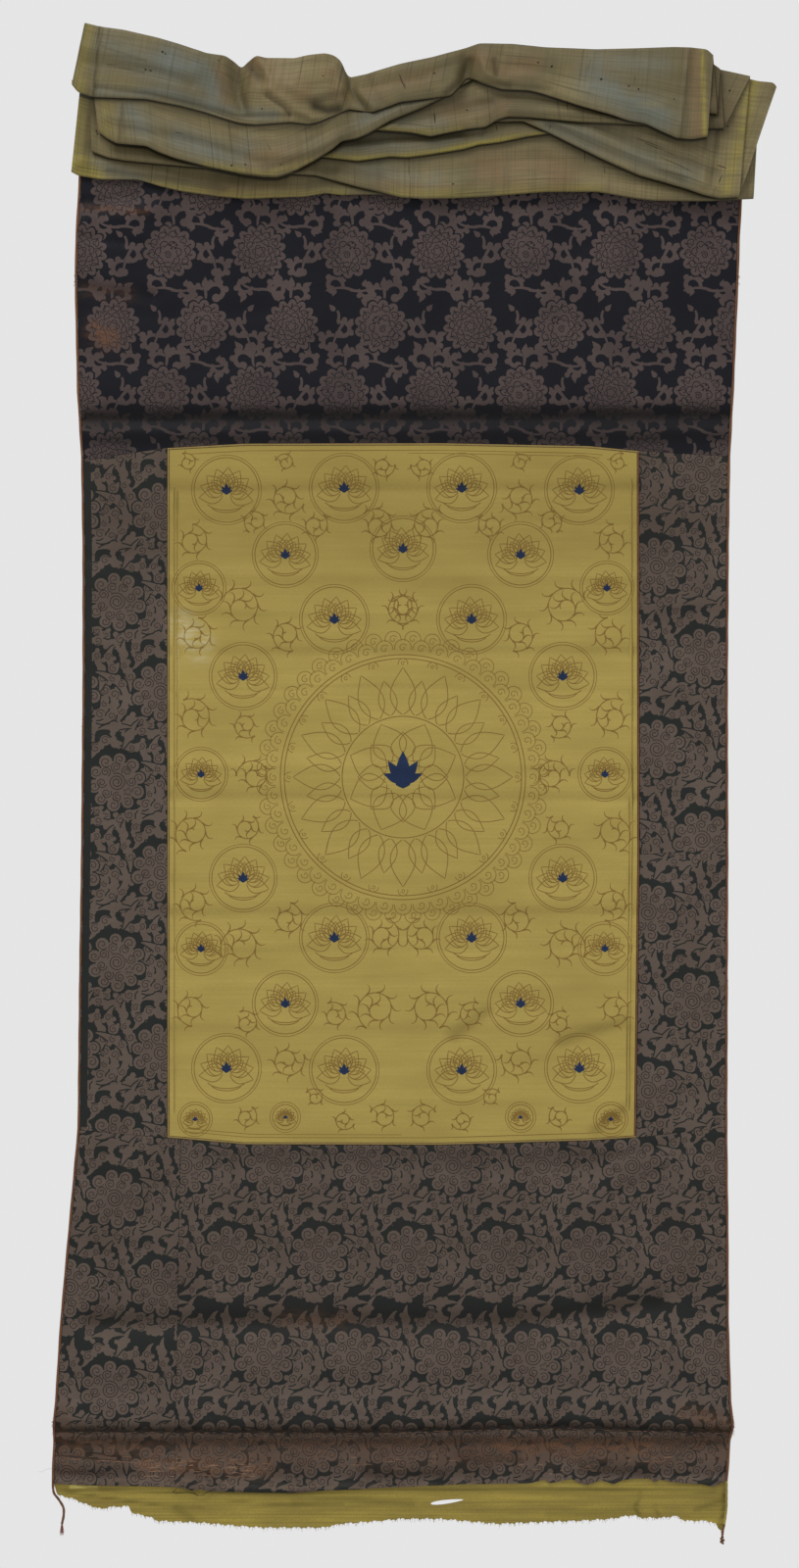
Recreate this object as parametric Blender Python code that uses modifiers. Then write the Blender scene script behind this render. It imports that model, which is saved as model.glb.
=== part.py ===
"""A hanging scroll: a painted silk picture in a mount of silk damask, with its cover cloth folded up in a pile
over the top edge. Metres, +Z up, front towards -Y. The origin is the middle of the scroll's top edge, from which
it hangs. Sizes and places below are in millimetres: x to the right of the middle, z above the top edge."""

import bmesh
import bpy
import numpy as np

MM = 0.001

SHEET = 1.4  # thickness of a mount panel and of the picture
LINING_SHEET = 1.0
VEIL_SHEET = 1.2
SEAM_GAP = 0.3  # what two sewn pieces stay apart
PIPING = 2.0  # diameter of the piping round the picture
CORD = 2.6  # diameter of the piping down the long edges

# Outer edges of the scroll, piping included.
LONG_EDGES = [  # height, left, right
    (0, -326, 347),
    (-86, -330, 348),
    (-140, -333, 345),
    (-185, -334, 343.5),
    (-300, -331.5, 338.5),
    (-366, -327.5, 335),
    (-460, -326, 333.5),
    (-600, -326, 332.5),
    (-770, -327.5, 333),
    (-900, -329.5, 332.5),
    (-1050, -331, 332),
    (-1150, -340, 333),
    (-1250, -349, 333.5),
    (-1330, -354, 336),
    (-1357, -356.5, 339),
    (-1370, -356, 335.5),
    (-1416, -357.5, 332),
]

# Seams, each as x and z of its turning points.
SEAM_ABOVE = [(-326, -371), (-277, -362.5), (-240, -357), (-160, -352.5), (40, -352), (190, -355), (242, -360),
              (335, -366)]
SEAM_BELOW = [(-331, -1053), (-240, -1061), (-160, -1068), (40, -1068.5), (190, -1064), (238, -1061),
              (332, -1050)]
SEAM_RIGHT_STRIP = [(242, -772), (333, -767)]
PICTURE_LEFT = [(-239.5, -357), (-239.5, -1061)]
PICTURE_RIGHT = [(242, -360), (242.5, -772), (239, -1061)]
SEAM_LOWER_PANEL = [(-226, -1063), (-232, -1416)]

# The hem of the lower panel, and the torn edge of the lining that hangs below it.
HEM = [(-357.5, -1414), (-310, -1416), (-229, -1417), (-196, -1422), (-110, -1423.5), (-49, -1420), (8, -1417),
       (97, -1414), (136, -1412), (190, -1415), (240, -1409), (280, -1413), (317, -1417), (332, -1412)]
TORN_EDGE = [(-350, -1426), (-337, -1429), (-320, -1436), (-307, -1440), (-299, -1438), (-279, -1437),
             (-275, -1444), (-257, -1448), (-250, -1452), (-204, -1454), (-171, -1457), (-141, -1459), (-81, -1459),
             (-61, -1455), (-22, -1452), (-2, -1450), (38, -1450), (97, -1455), (150, -1453), (180, -1452),
             (213, -1450), (236, -1446), (243, -1449), (266, -1449), (279, -1447), (289, -1452), (312, -1452),
             (319, -1453), (327, -1447)]
LINING_TOP = -1392  # how far up the lining is caught behind the casing
LINING_SIDES = (-350, 327)
LINING_BEHIND = 1.8  # how far its middle lies behind the panel's
SLIT = dict(x=46, z=-1432.5, length=34, height=5.4, tilt=7)  # a tear right through the lining; tilt in degrees

# Creases and swells of the hanging cloth. Each runs along a line with a soft flank on both sides, and stands
# towards the viewer, or away as a trough where the height is negative.
FOLDS = [  # line, flank, height
    ([(-330, -190), (-255, -202)], 9, -2.0),  # pull below the veil's left end
    ([(-330, -128), (-250, -112)], 10, 2.5),
    ([(-320, -300), (330, -296)], 26, 2.5),  # long swell above the seam
    ([(-322, -328), (337, -326)], 8, -3.5),  # trough, then a ridge, above the picture's top seam
    ([(-322, -339), (337, -337)], 6, 2.5),
    ([(-236, -399), (238, -397)], 7, -1.6),  # level creases that rolling left in the picture
    ([(-236, -486), (238, -488)], 7, 1.5),
    ([(-236, -566), (238, -564)], 7, -1.5),
    ([(-236, -681), (238, -680)], 7, 1.5),
    ([(-236, -712), (238, -714)], 7, -1.6),
    ([(-236, -831), (238, -830)], 8, -1.8),
    ([(-236, -943), (238, -944)], 8, 1.8),
    ([(86, -933), (53, -958)], 9, -2.2),  # slanting pulls low in the picture
    ([(229, -941), (162, -964)], 8, -2.0),
    ([(-231, -522), (-205, -547)], 7, -2.0),
    ([(-200, -1092), (210, -1094)], 12, -2.5),  # below the picture's bottom seam
    ([(202, -1084), (273, -1068)], 6, -2.5),  # pulls at the picture's lower right corner
    ([(214, -1122), (268, -1094)], 6, -2.0),
    ([(-300, -1180), (300, -1180)], 50, 5.0),  # belly of the lower panel
    ([(-320, -1247), (120, -1246), (258, -1229)], 13, -5.0),  # deep trough across it
    ([(-330, -1290), (320, -1285)], 26, 3.0),
    ([(-352, -1338), (334, -1336)], 13, 4.5),  # roll above the tuck
    ([(-356, -1360), (-41, -1361), (150, -1356), (337, -1361)], 3.5, -4.0),  # the stitched tuck
    ([(-354, -1372), (334, -1371)], 8, -3.5),  # casing: hollow under the tuck, then rounded out
    ([(-354, -1396), (334, -1396)], 12, 3.0),
    ([(-352, -1385), (-229, -1393)], 4, -2.0),
]

# The cover cloth, from its sewn edge at the back to its free edge in front. Lower and upper folds take turns, and
# each is a line from its left end to its right end, as x and z.
FRONT_TOP = [(-322, 73), (-306, 69), (-283, 66), (-248, 58), (-225, 51), (-199, 42), (-179, 39.5), (-169, 33),
             (-163, 27), (-156, 34), (-148, 39.5), (-138, 37), (-109, 36.5), (-95, 40), (-78, 42), (-69, 40),
             (-61, 34), (-58, 25), (-54, 18.5), (-35, 21.5), (-2, 31), (31, 38), (56, 45), (78, 52), (112, 51.5),
             (145, 48), (197, 46), (236, 47), (277, 48.5), (294, 48), (310, 46), (316, 40)]


def hidden_top(drop, left, tail):
    """An upper fold behind the front one: a little lower, and with a right end of its own that shows."""
    return [(max(x, left), z - drop) for x, z in FRONT_TOP[:-4] if x < tail[0][0]] + tail


VEIL_FOLDS = [
    # sewn edge
    [(-322, -3), (343, -3)],
    # bottom of the pile at the left
    [(-337, -76), (-330, -80), (-305, -84), (-269, -84), (-246, -91), (-225, -96), (-185, -101.5), (-160, -103.5),
     (-100, -101.5), (-78, -98), (-61, -100), (40, -98), (145, -90), (251, -95), (352, -93)],
    hidden_top(5, -329, [(300, 36), (322, 22), (345, 16), (360, 12)]),
    # the short layer at the left, then the bottom of the pile at the right
    [(-316, -56), (-300, -62), (-283, -65), (-242, -69), (-160, -76), (-88, -80), (-67, -86), (-45, -92),
     (-23, -97), (-2, -102.5), (20, -104), (52, -103.5), (85, -102), (145, -97), (198, -97), (236, -103.5),
     (258, -106), (312, -106.5), (358, -104)],
    hidden_top(4.5, -320, [(300, 38), (325, 24), (350, 18), (365, 14)]),
    # the layer with the bright hem in the middle
    [(-310, -18), (-231, -33), (-134, -55), (-67, -63.5), (-45, -66), (-12, -61.5), (5, -62.5), (25, -60),
     (63, -54), (78, -49.5), (99, -47), (128, -41), (150, -38), (203, -42), (251, -46), (350, -50)],
    hidden_top(4, -318, [(300, 40), (330, 24), (345, 20), (362, 15.5), (379, 14), (381, 10)]),
    # the long slanting fold at the right
    [(-310, -6), (-183, -12), (-86, -16), (10, -21), (58, -24), (101, -26.5), (123, -26), (134, -31), (150, -38),
     (180, -53), (209, -67), (241, -81), (263, -87), (290, -95), (307, -101), (323, -104.5), (343, -103)],
    hidden_top(3.5, -318, [(300, 42), (322, 27), (345, 22), (354, 20)]),
    # the middle fold
    [(-306, -12), (-231, -18), (-134, -26), (-60, -33), (-26, -35.5), (9, -38), (29, -42), (47, -38), (69, -34),
     (85, -32.5), (96, -25.5), (107, -22), (128, -22.5), (180, -27.5), (247, -30.5), (290, -34), (327, -34)],
    hidden_top(3, -318, [(300, 43), (316, 32), (323, 27)]),
    # the broad fold at the left, which slants up into the middle
    [(-308, -38), (-300, -44), (-290, -49.5), (-260, -52), (-248, -58), (-231, -64.5), (-198, -73), (-161, -81),
     (-141, -83.5), (-127, -84), (-116, -80.5), (-105, -75.5), (-89, -67), (-70, -55), (-61, -47), (-45, -44),
     (-34, -39.5), (-12, -26.5), (20, -13.5), (42, -3), (58, 8), (74, 17), (107, 14), (155, 8), (203, 0),
     (251, -12), (320, -20)],
    FRONT_TOP,
    # free edge
    [(-335, 10), (-329, 2), (-313, -3), (-260, -5), (-225, -12), (-200, -18.5), (-181, -24.5), (-165, -29),
     (-149, -31), (-113, -28.5), (-95, -30.5), (-85, -28.5), (-70, -22), (-54, -14.5), (-41, -16.5), (-30, -18),
     (-18, -14), (-2, -8), (31, -4), (50, -1), (58, 8), (66, 18), (74, 15), (82, 11), (101, 5), (128, 4),
     (139, 1.5), (161, -5.5), (182, -12.5), (212, -21), (229, -27), (247, -30), (263, -37.5), (279, -44.5),
     (295, -45.5), (310, -43)],
]
SEWN_DEPTH = 1.6  # how far the sewn edge's middle lies in front of the scroll's
VEIL_DEPTHS = [4.2, 7.2, 10.2, 13.2, 16.2, 19.2, 22.2, 25.2, 28.2, 31.2, 34.2, 37.2, 41]  # and each run's
# Where the upright cuts through the pile are: close together at the notch, the pinch and the pleat.
VEIL_CUTS = [-322, -300, -272, -244, -216, -192, -174, -163, -152, -136, -112, -88, -72, -61, -54, -38, -16, 10,
             34, 54, 66, 78, 98, 126, 156, 188, 218, 248, 276, 300, 316]
# Where the pile swells or is drawn in, in front of its foremost run.
VEIL_SWELLS = [  # x, z, reach across, reach up, height
    (-110, 10, 50, 32, 12),  # the hump left of the pinch
    (-165, 10, 14, 40, -7),  # the valley below the notch
    (-215, 20, 40, 40, 4),
    (-50, 34, 16, 60, -13),  # the pinch
    (30, 20, 50, 30, 4),
    (66, 20, 10, 30, -7),  # the pleat
    (100, 30, 30, 40, 6),
    (230, 0, 70, 50, 5),
    (-300, 30, 30, 50, 4),
]

# The piping's free ends below the hem, from just under it to their tips.
LEFT_END = [(-355, -1423), (-350, -1430), (-345.4, -1438), (-345, -1446), (-346.8, -1455)]
LEFT_TUFT = dict(length=12, width=4.2)
RIGHT_END = [(331, -1428), (330.6, -1440), (329, -1453), (327.2, -1462), (326.6, -1468)]
RIGHT_KNOT = dict(width=5.2, height=7)
END_FORWARD = 1.0  # how far the free ends stand in front of the cloth
END_POINTS = 12


# ---- materials and collections ----

def material(name, colour, roughness):
    made = bpy.data.materials.new(name)
    made.use_nodes = True
    shader = made.node_tree.nodes["Principled BSDF"]
    shader.inputs["Base Color"].default_value = (*colour, 1)
    shader.inputs["Roughness"].default_value = roughness
    shader.inputs["Metallic"].default_value = 0
    return made


for old in list(bpy.data.objects):
    bpy.data.objects.remove(old)
SCROLL = bpy.data.collections.new("scroll_painting")
CUTTERS = bpy.data.collections.new("cutters")
bpy.context.scene.collection.children.link(SCROLL)
bpy.context.scene.collection.children.link(CUTTERS)

PAINTED_SILK = material("painted silk", (0.34, 0.25, 0.07), 0.6)
UPPER_DAMASK = material("black and brown damask", (0.02, 0.018, 0.022), 0.55)
SIDE_DAMASK = material("grey-brown damask", (0.05, 0.045, 0.04), 0.6)
YELLOW_SILK = material("yellow silk", (0.32, 0.25, 0.05), 0.65)
OLIVE_SILK = material("olive silk", (0.22, 0.19, 0.09), 0.5)
PIPING_SILK = material("pale piping silk", (0.2, 0.14, 0.07), 0.7)
BROWN_SILK = material("brown piping silk", (0.15, 0.07, 0.04), 0.7)
RED_THREAD = material("red-brown thread", (0.25, 0.07, 0.05), 0.8)


def add(name, data, surface, collection=SCROLL):
    made = bpy.data.objects.new(name, data)
    data.materials.append(surface)
    collection.objects.link(made)
    return made


# ---- lines and the cloth's relief ----

def height_on(seam, x):
    return np.interp(x, [p[0] for p in seam], [p[1] for p in seam])


def across_on(seam, z):
    """x of an upright seam, whose points run downwards, at height z."""
    return np.interp(-z, [-p[1] for p in seam], [p[0] for p in seam])


def edge_left(z):
    return np.interp(-z, [-row[0] for row in LONG_EDGES], [row[1] for row in LONG_EDGES])


def edge_right(z):
    return np.interp(-z, [-row[0] for row in LONG_EDGES], [row[2] for row in LONG_EDGES])


def distance_to_line(x, z, line):
    nearest = 1e9
    for (x0, z0), (x1, z1) in zip(line, line[1:]):
        along = np.array([x1 - x0, z1 - z0], float)
        share = np.clip(np.dot([x - x0, z - z0], along) / np.dot(along, along), 0, 1)
        nearest = min(nearest, np.hypot(x - x0 - share * along[0], z - z0 - share * along[1]))
    return nearest


def relief(x, z):
    """y of the cloth's middle surface: what stands towards the viewer is negative."""
    total = 0.0
    for line, flank, height in FOLDS:
        total -= height * np.exp(-(distance_to_line(x, z, line) / flank) ** 2)
    return total


# ---- sheets ----

def rows_between(bottom, top, step, left, right):
    """Shares of a panel's height for its rows: even steps, and three more at each level fold that crosses it."""
    heights = list(np.linspace(bottom, top, max(2, round((top - bottom) / step)) + 1))
    middle = (left + right) / 2
    for line, flank, _ in FOLDS:
        level = height_on(line, middle)
        if line[0][0] < middle < line[-1][0] and bottom + flank < level < top - flank:
            heights = [h for h in heights if abs(h - level) > 1.6 * flank or h in (bottom, top)]
            heights += [level - 0.9 * flank, level, level + 0.9 * flank]
    shares = (np.array(sorted(heights)) - bottom) / (top - bottom)
    return [shares[0]] + [b for a, b in zip(shares, shares[1:]) if b - a > 2.0 / (top - bottom)]


def even(count):
    return list(np.linspace(0, 1, count + 1))


def columns_through(seam, left, right, step):
    """Shares of a panel's width for its columns: even steps between the seam's turning points."""
    turns = [x for x, _ in seam if left + step / 3 < x < right - step / 3]
    stops = [left, *turns, right]
    places = [left]
    for near, far in zip(stops, stops[1:]):
        places += list(np.linspace(near, far, max(1, round((far - near) / step)) + 1))[1:]
    return [(x - left) / (right - left) for x in places]


def lay_out(left, right, top, bottom, columns, rows):
    """x and z of a panel's points, row by row from the bottom, between two upright and two level edges. columns
    and rows are shares from 0 to 1, and the edges are functions of height and of x."""
    places = []
    for up in rows:
        places.append([])
        for across in columns:
            z = bottom(0) * (1 - up) + top(0) * up
            for _ in range(8):
                x = left(z) * (1 - across) + right(z) * across
                z = bottom(x) * (1 - up) + top(x) * up
            places[-1].append((x, z))
    return places


def sheet(name, places, surface, thickness=SHEET, behind=0.0):
    """A closed sheet of cloth through these points, on the relief."""
    bm = bmesh.new()
    bmesh.ops.create_grid(bm, x_segments=len(places[0]) - 1, y_segments=len(places) - 1, size=0.5)
    for vert in bm.verts:
        row = places[round((vert.co.y + 0.5) * (len(places) - 1))]
        x, z = row[round((vert.co.x + 0.5) * (len(row) - 1))]
        vert.co = (x * MM, (relief(x, z) + behind) * MM, z * MM)
    mesh = bpy.data.meshes.new(name)
    bm.to_mesh(mesh)
    bm.free()
    mesh.shade_smooth()
    made = add(name, mesh, surface)
    shell = made.modifiers.new("thickness", "SOLIDIFY")
    shell.thickness = thickness * MM
    shell.offset = 0
    return made


# ---- the scroll's panels ----

HALF_GAP = SEAM_GAP / 2
CLOTH_IN = CORD + SEAM_GAP  # from the outer edge of the long piping to the cloth beside it
PICTURE_IN = HALF_GAP + PIPING + SEAM_GAP  # from a seam of the picture to the picture's own edge


def upright(line, offset):
    return lambda z: across_on(line, z) + offset


def level(line, offset):
    return lambda x: height_on(line, x) + offset


def cloth_left(z):
    return edge_left(z) + CLOTH_IN


def cloth_right(z):
    return edge_right(z) - CLOTH_IN


def top_edge(x):
    return 0.0 * x


picture = lay_out(upright(PICTURE_LEFT, PICTURE_IN), upright(PICTURE_RIGHT, -PICTURE_IN),
                  level(SEAM_ABOVE, -PICTURE_IN), level(SEAM_BELOW, PICTURE_IN),
                  columns_through(SEAM_ABOVE, -237, 239, 60), rows_between(-1065, -355, 60, -240, 240))
upper = lay_out(cloth_left, cloth_right, top_edge, level(SEAM_ABOVE, HALF_GAP),
                columns_through(SEAM_ABOVE, -324.4, 332.4, 48), rows_between(-355, 0, 32, -320, 330))
left_strip = lay_out(cloth_left, upright(PICTURE_LEFT, -HALF_GAP), level(SEAM_ABOVE, -HALF_GAP),
                     level(SEAM_BELOW, HALF_GAP), columns_through(SEAM_ABOVE, -324.4, -239.6, 30),
                     rows_between(-1060, -365, 60, -320, -240))
right_upper = lay_out(upright(PICTURE_RIGHT, HALF_GAP), cloth_right, level(SEAM_ABOVE, -HALF_GAP),
                      level(SEAM_RIGHT_STRIP, HALF_GAP), even(3), rows_between(-770, -363, 60, 242, 333))
right_lower = lay_out(upright(PICTURE_RIGHT, HALF_GAP), cloth_right, level(SEAM_RIGHT_STRIP, -HALF_GAP),
                      level(SEAM_BELOW, HALF_GAP), even(3), rows_between(-1055, -770, 60, 242, 333))
lower_left = lay_out(cloth_left, upright(SEAM_LOWER_PANEL, -HALF_GAP), level(SEAM_BELOW, -HALF_GAP),
                     level(HEM, 0), even(4), rows_between(-1415, -1060, 36, -340, -230))
lower = lay_out(upright(SEAM_LOWER_PANEL, HALF_GAP), cloth_right, level(SEAM_BELOW, -HALF_GAP),
                level(HEM, 0), columns_through(SEAM_BELOW, -226, 329, 42),
                rows_between(-1415, -1065, 36, -230, 330))
sheet("picture", picture, PAINTED_SILK)
sheet("upper_brocade", upper, UPPER_DAMASK)
sheet("left_brocade", left_strip, SIDE_DAMASK)
sheet("right_brocade_upper", right_upper, SIDE_DAMASK)
sheet("right_brocade_lower", right_lower, SIDE_DAMASK)
sheet("lower_brocade_left", lower_left, SIDE_DAMASK)
sheet("lower_brocade", lower, SIDE_DAMASK)


# ---- the lining below the hem ----

def lining_left(z):
    return LINING_SIDES[0] + 0.0 * z


def lining_right(z):
    return LINING_SIDES[1] + 0.0 * z


def lining_top(x):
    return LINING_TOP + 0.0 * x


torn_columns = [(x - LINING_SIDES[0]) / (LINING_SIDES[1] - LINING_SIDES[0]) for x, _ in TORN_EDGE]
lining = sheet("lining", lay_out(lining_left, lining_right, lining_top, level(TORN_EDGE, 0), torn_columns, even(4)),
               YELLOW_SILK, LINING_SHEET, LINING_BEHIND)

bm = bmesh.new()
bmesh.ops.create_cone(bm, cap_ends=True, segments=14, radius1=0.5, radius2=0.5, depth=1)
for vert in bm.verts:  # a leaf's outline, blunt at the left and pointed at the right, upright in the cloth
    taper = 0.75 - 0.5 * vert.co.x
    x, z = vert.co.x * SLIT["length"], vert.co.y * SLIT["height"] * taper
    turn = np.radians(SLIT["tilt"])
    vert.co = ((SLIT["x"] + x * np.cos(turn) - z * np.sin(turn)) * MM, -vert.co.z * 40 * MM,
               (SLIT["z"] + x * np.sin(turn) + z * np.cos(turn)) * MM)
slit_mesh = bpy.data.meshes.new("slit")
bm.to_mesh(slit_mesh)
bm.free()
slit = add("slit", slit_mesh, YELLOW_SILK, CUTTERS)
slit.hide_render = True
slit.display_type = "WIRE"
torn = lining.modifiers.new("slit", "BOOLEAN")
torn.object = slit
torn.operation = "DIFFERENCE"


# ---- piping and its free ends ----

def tube(name, points, diameter, sides, surface):
    """A closed tube along points in millimetres."""
    curve = bpy.data.curves.new(name, "CURVE")
    curve.dimensions = "3D"
    curve.bevel_depth = diameter / 2 * MM
    curve.bevel_resolution = sides
    curve.use_fill_caps = True
    spline = curve.splines.new("POLY")
    spline.points.add(len(points) - 1)
    for point, place in zip(spline.points, points):
        point.co = (*(c * MM for c in place), 1)
    return add(name, curve, surface)


def smooth(points, count):
    """Evenly shared points on a smooth curve through the given ones."""
    given = np.array(points, float)
    ends = np.vstack([2 * given[0] - given[1], given, 2 * given[-1] - given[-2]])
    found = []
    for share in np.linspace(0, len(given) - 1, count):
        i = min(int(share), len(given) - 2)
        t = share - i
        a, b, c, d = ends[i:i + 4]
        found.append(0.5 * (2 * b + (c - a) * t + (2 * a - 5 * b + 4 * c - d) * t ** 2
                            + (3 * b - a - 3 * c + d) * t ** 3))
    return found


def on_cloth(x, z):
    return (x, relief(x, z), z)


def along(name, places, aside, above, diameter, sides, surface):
    """Piping beside a panel's edge, that much to its right and above it."""
    tube(name, [on_cloth(x + aside, z + above) for x, z in places], diameter, sides, surface)


BESIDE = PIPING / 2 + SEAM_GAP
along("picture_piping_top", picture[-1], 0, BESIDE, PIPING, 1, PIPING_SILK)
along("picture_piping_bottom", picture[0], 0, -BESIDE, PIPING, 1, PIPING_SILK)
along("picture_piping_left", [row[0] for row in picture], -BESIDE, 0, PIPING, 1, PIPING_SILK)
along("picture_piping_right", [row[-1] for row in picture], BESIDE, 0, PIPING, 1, BROWN_SILK)

left_edge = [row[0] for rows in (lower_left, left_strip, upper) for row in rows]
right_edge = [row[-1] for rows in (lower, right_lower, right_upper, upper) for row in rows]
LONG_BESIDE = CORD / 2 + SEAM_GAP
along("left_edge_cord", left_edge, -LONG_BESIDE, 0, CORD, 2, BROWN_SILK)
along("right_edge_cord", right_edge, LONG_BESIDE, 0, CORD, 2, BROWN_SILK)


def free_end(name, edge_foot, aside, route):
    """The piping below its panel's lowest point, in front of the lining."""
    x, z = edge_foot
    y = relief(x + aside, z)
    places = [(x + aside, y, z - SEAM_GAP)] + [(x, y - END_FORWARD, z) for x, z in route]
    points = smooth(places, END_POINTS)
    tube(name, points, CORD, 2, BROWN_SILK)
    return points[-1]


def hang_below(end, name, mesh_maker, length, surface):
    """A small round piece whose top is a seam gap below a cord's end."""
    bm = bmesh.new()
    mesh_maker(bm)
    mesh = bpy.data.meshes.new(name)
    bm.to_mesh(mesh)
    bm.free()
    mesh.shade_smooth()
    made = add(name, mesh, surface)
    made.location = (end[0] * MM, end[1] * MM, (end[2] - SEAM_GAP - length / 2) * MM)


def tuft(bm):
    bmesh.ops.create_cone(bm, cap_ends=True, segments=10, radius1=0.35 * LEFT_TUFT["width"] * MM,
                          radius2=0.5 * LEFT_TUFT["width"] * MM, depth=LEFT_TUFT["length"] * MM)


def knot(bm):
    bmesh.ops.create_uvsphere(bm, u_segments=10, v_segments=7, radius=0.5)
    for vert in bm.verts:
        vert.co.x *= RIGHT_KNOT["width"] * MM
        vert.co.y *= RIGHT_KNOT["width"] * MM
        vert.co.z *= RIGHT_KNOT["height"] * MM


left_tip = free_end("left_cord_end", left_edge[0], -LONG_BESIDE, LEFT_END)
right_tip = free_end("right_cord_end", right_edge[0], LONG_BESIDE, RIGHT_END)
hang_below(left_tip, "left_cord_tuft", tuft, LEFT_TUFT["length"], RED_THREAD)
hang_below(right_tip, "right_cord_knot", knot, RIGHT_KNOT["height"], BROWN_SILK)


# ---- the cover cloth, folded up over the top edge ----

def swell(x, z):
    return sum(height * np.exp(-((x - x0) / across) ** 2 - ((z - z0) / up) ** 2)
               for x0, z0, across, up, height in VEIL_SWELLS)


def veil_place(row, onwards, share, depth, lift, across):
    """A point of the pile: share of the way from one fold line to the next, at a depth, lift above its line."""
    ends = []
    for line in (VEIL_FOLDS[row], VEIL_FOLDS[onwards]):
        x = line[0][0] * (1 - across) + line[-1][0] * across
        ends.append((x, height_on(line, x)))
    x = ends[0][0] * (1 - share) + ends[1][0] * share
    z = ends[0][1] * (1 - share) + ends[1][1] * share + lift
    return (x, -depth - swell(x, z) * depth / VEIL_DEPTHS[-1], z)


def veil_path(across):
    """The cloth from its sewn edge to its free edge, on one upright cut through the pile."""
    path = [veil_place(0, 0, 0, SEWN_DEPTH, 0, across), veil_place(0, 0, 0, VEIL_DEPTHS[0], -8, across)]
    last = len(VEIL_DEPTHS) - 1
    for run, depth in enumerate(VEIL_DEPTHS):
        path.append(veil_place(run, run + 1, 0.5, depth, 0, across))
        if run == last:
            path.append(veil_place(run + 1, run + 1, 0, depth, 0, across))
            break
        after = VEIL_DEPTHS[run + 1]
        bend = (after - depth) / 2 * (1 if run % 2 == 0 else -1)  # a lower fold's flanks lie above its line
        path.append(veil_place(run + 1, run + 1, 0, depth, bend, across))
        path.append(veil_place(run + 1, run + 1, 0, (depth + after) / 2, 0, across))
        path.append(veil_place(run + 1, run + 1, 0, after, bend, across))
    return path


cuts = [(x - VEIL_CUTS[0]) / (VEIL_CUTS[-1] - VEIL_CUTS[0]) for x in VEIL_CUTS]
paths = [veil_path(across) for across in cuts]
bm = bmesh.new()
bmesh.ops.create_grid(bm, x_segments=len(paths) - 1, y_segments=len(paths[0]) - 1, size=0.5)
for vert in bm.verts:
    column = round((vert.co.x + 0.5) * (len(paths) - 1))
    step = round((vert.co.y + 0.5) * (len(paths[0]) - 1))
    vert.co = [c * MM for c in paths[column][step]]
veil_mesh = bpy.data.meshes.new("veil")
bm.to_mesh(veil_mesh)
bm.free()
veil_mesh.shade_smooth()
veil = add("veil", veil_mesh, OLIVE_SILK)
pile = veil.modifiers.new("thickness", "SOLIDIFY")
pile.thickness = VEIL_SHEET * MM
pile.offset = 0
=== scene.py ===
"""A hanging scroll: a painted silk picture in a mount of silk damask, with its cover cloth folded up in a pile
over the top edge. The frame is in metres. Sizes below are in millimetres: x to the right of the middle of the
top edge, z above it, and what stands towards the viewer has a lower y."""

import bpy
import numpy as np
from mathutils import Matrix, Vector
from mathutils.bvhtree import BVHTree
from mathutils.geometry import delaunay_2d_cdt


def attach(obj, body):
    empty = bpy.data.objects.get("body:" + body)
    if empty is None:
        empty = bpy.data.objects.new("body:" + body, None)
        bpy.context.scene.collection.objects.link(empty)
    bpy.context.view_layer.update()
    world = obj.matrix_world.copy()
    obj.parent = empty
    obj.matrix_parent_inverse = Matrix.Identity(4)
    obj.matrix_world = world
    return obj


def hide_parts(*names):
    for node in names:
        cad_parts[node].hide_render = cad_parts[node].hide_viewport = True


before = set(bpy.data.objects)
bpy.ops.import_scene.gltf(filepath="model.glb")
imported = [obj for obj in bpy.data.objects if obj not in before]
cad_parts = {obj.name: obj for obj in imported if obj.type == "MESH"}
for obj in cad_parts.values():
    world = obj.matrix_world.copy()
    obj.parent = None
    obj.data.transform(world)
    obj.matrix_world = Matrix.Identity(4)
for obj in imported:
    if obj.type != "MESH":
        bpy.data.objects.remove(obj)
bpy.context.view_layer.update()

# ---- studio ----
# A pale room with one large soft light above the front and a weaker one at the right. The scroll hangs free, so
# the floor lies well below it, and the camera stands eight metres off, square to the front.
MM = 0.001
FRAME_HIGH = 1600  # millimetres from the bottom to the top of the view, one to a pixel of the photograph
MIDDLE_X, MIDDLE_Z = -2.5, -700
CAMERA_AWAY = 8.0
SENSOR = 36.0


def linear(code):
    """An sRGB hex colour, such as #a08e45, as linear red, green, blue and full alpha."""
    shares = [int(code[i:i + 2], 16) / 255 for i in (1, 3, 5)]
    return tuple(s / 12.92 if s <= 0.04045 else ((s + 0.055) / 1.055) ** 2.4 for s in shares) + (1.0,)


def node(tree, kind, sockets=None, **settings):
    """Adds a shader node with its settings. Each socket takes a value or another node's output."""
    made = tree.nodes.new("ShaderNode" + kind)
    for name, value in settings.items():
        setattr(made, name, value)
    for name, value in (sockets or {}).items():
        if isinstance(value, bpy.types.NodeSocket):
            tree.links.new(value, made.inputs[name])
        else:
            made.inputs[name].default_value = value
    return made


def add(name, data, *surfaces):
    """Puts a mesh, a lamp or a camera into the scene."""
    made = bpy.data.objects.new(name, data)
    for surface in surfaces:
        data.materials.append(surface)
    bpy.context.scene.collection.objects.link(made)
    return made


def aim(thing, place, target):
    """Stands a lamp or a camera at a place, turned to face a target."""
    thing.location = place
    thing.rotation_euler = (Vector(target) - Vector(place)).to_track_quat("-Z", "Y").to_euler()


lens = bpy.data.cameras.new("camera")
lens.sensor_width = SENSOR
lens.lens = SENSOR * CAMERA_AWAY / (FRAME_HIGH * MM)
camera = add("camera", lens)
aim(camera, (MIDDLE_X * MM, -CAMERA_AWAY, MIDDLE_Z * MM), (MIDDLE_X * MM, 0, MIDDLE_Z * MM))
bpy.context.scene.camera = camera
bpy.context.scene.view_settings.view_transform = "Standard"

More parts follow.
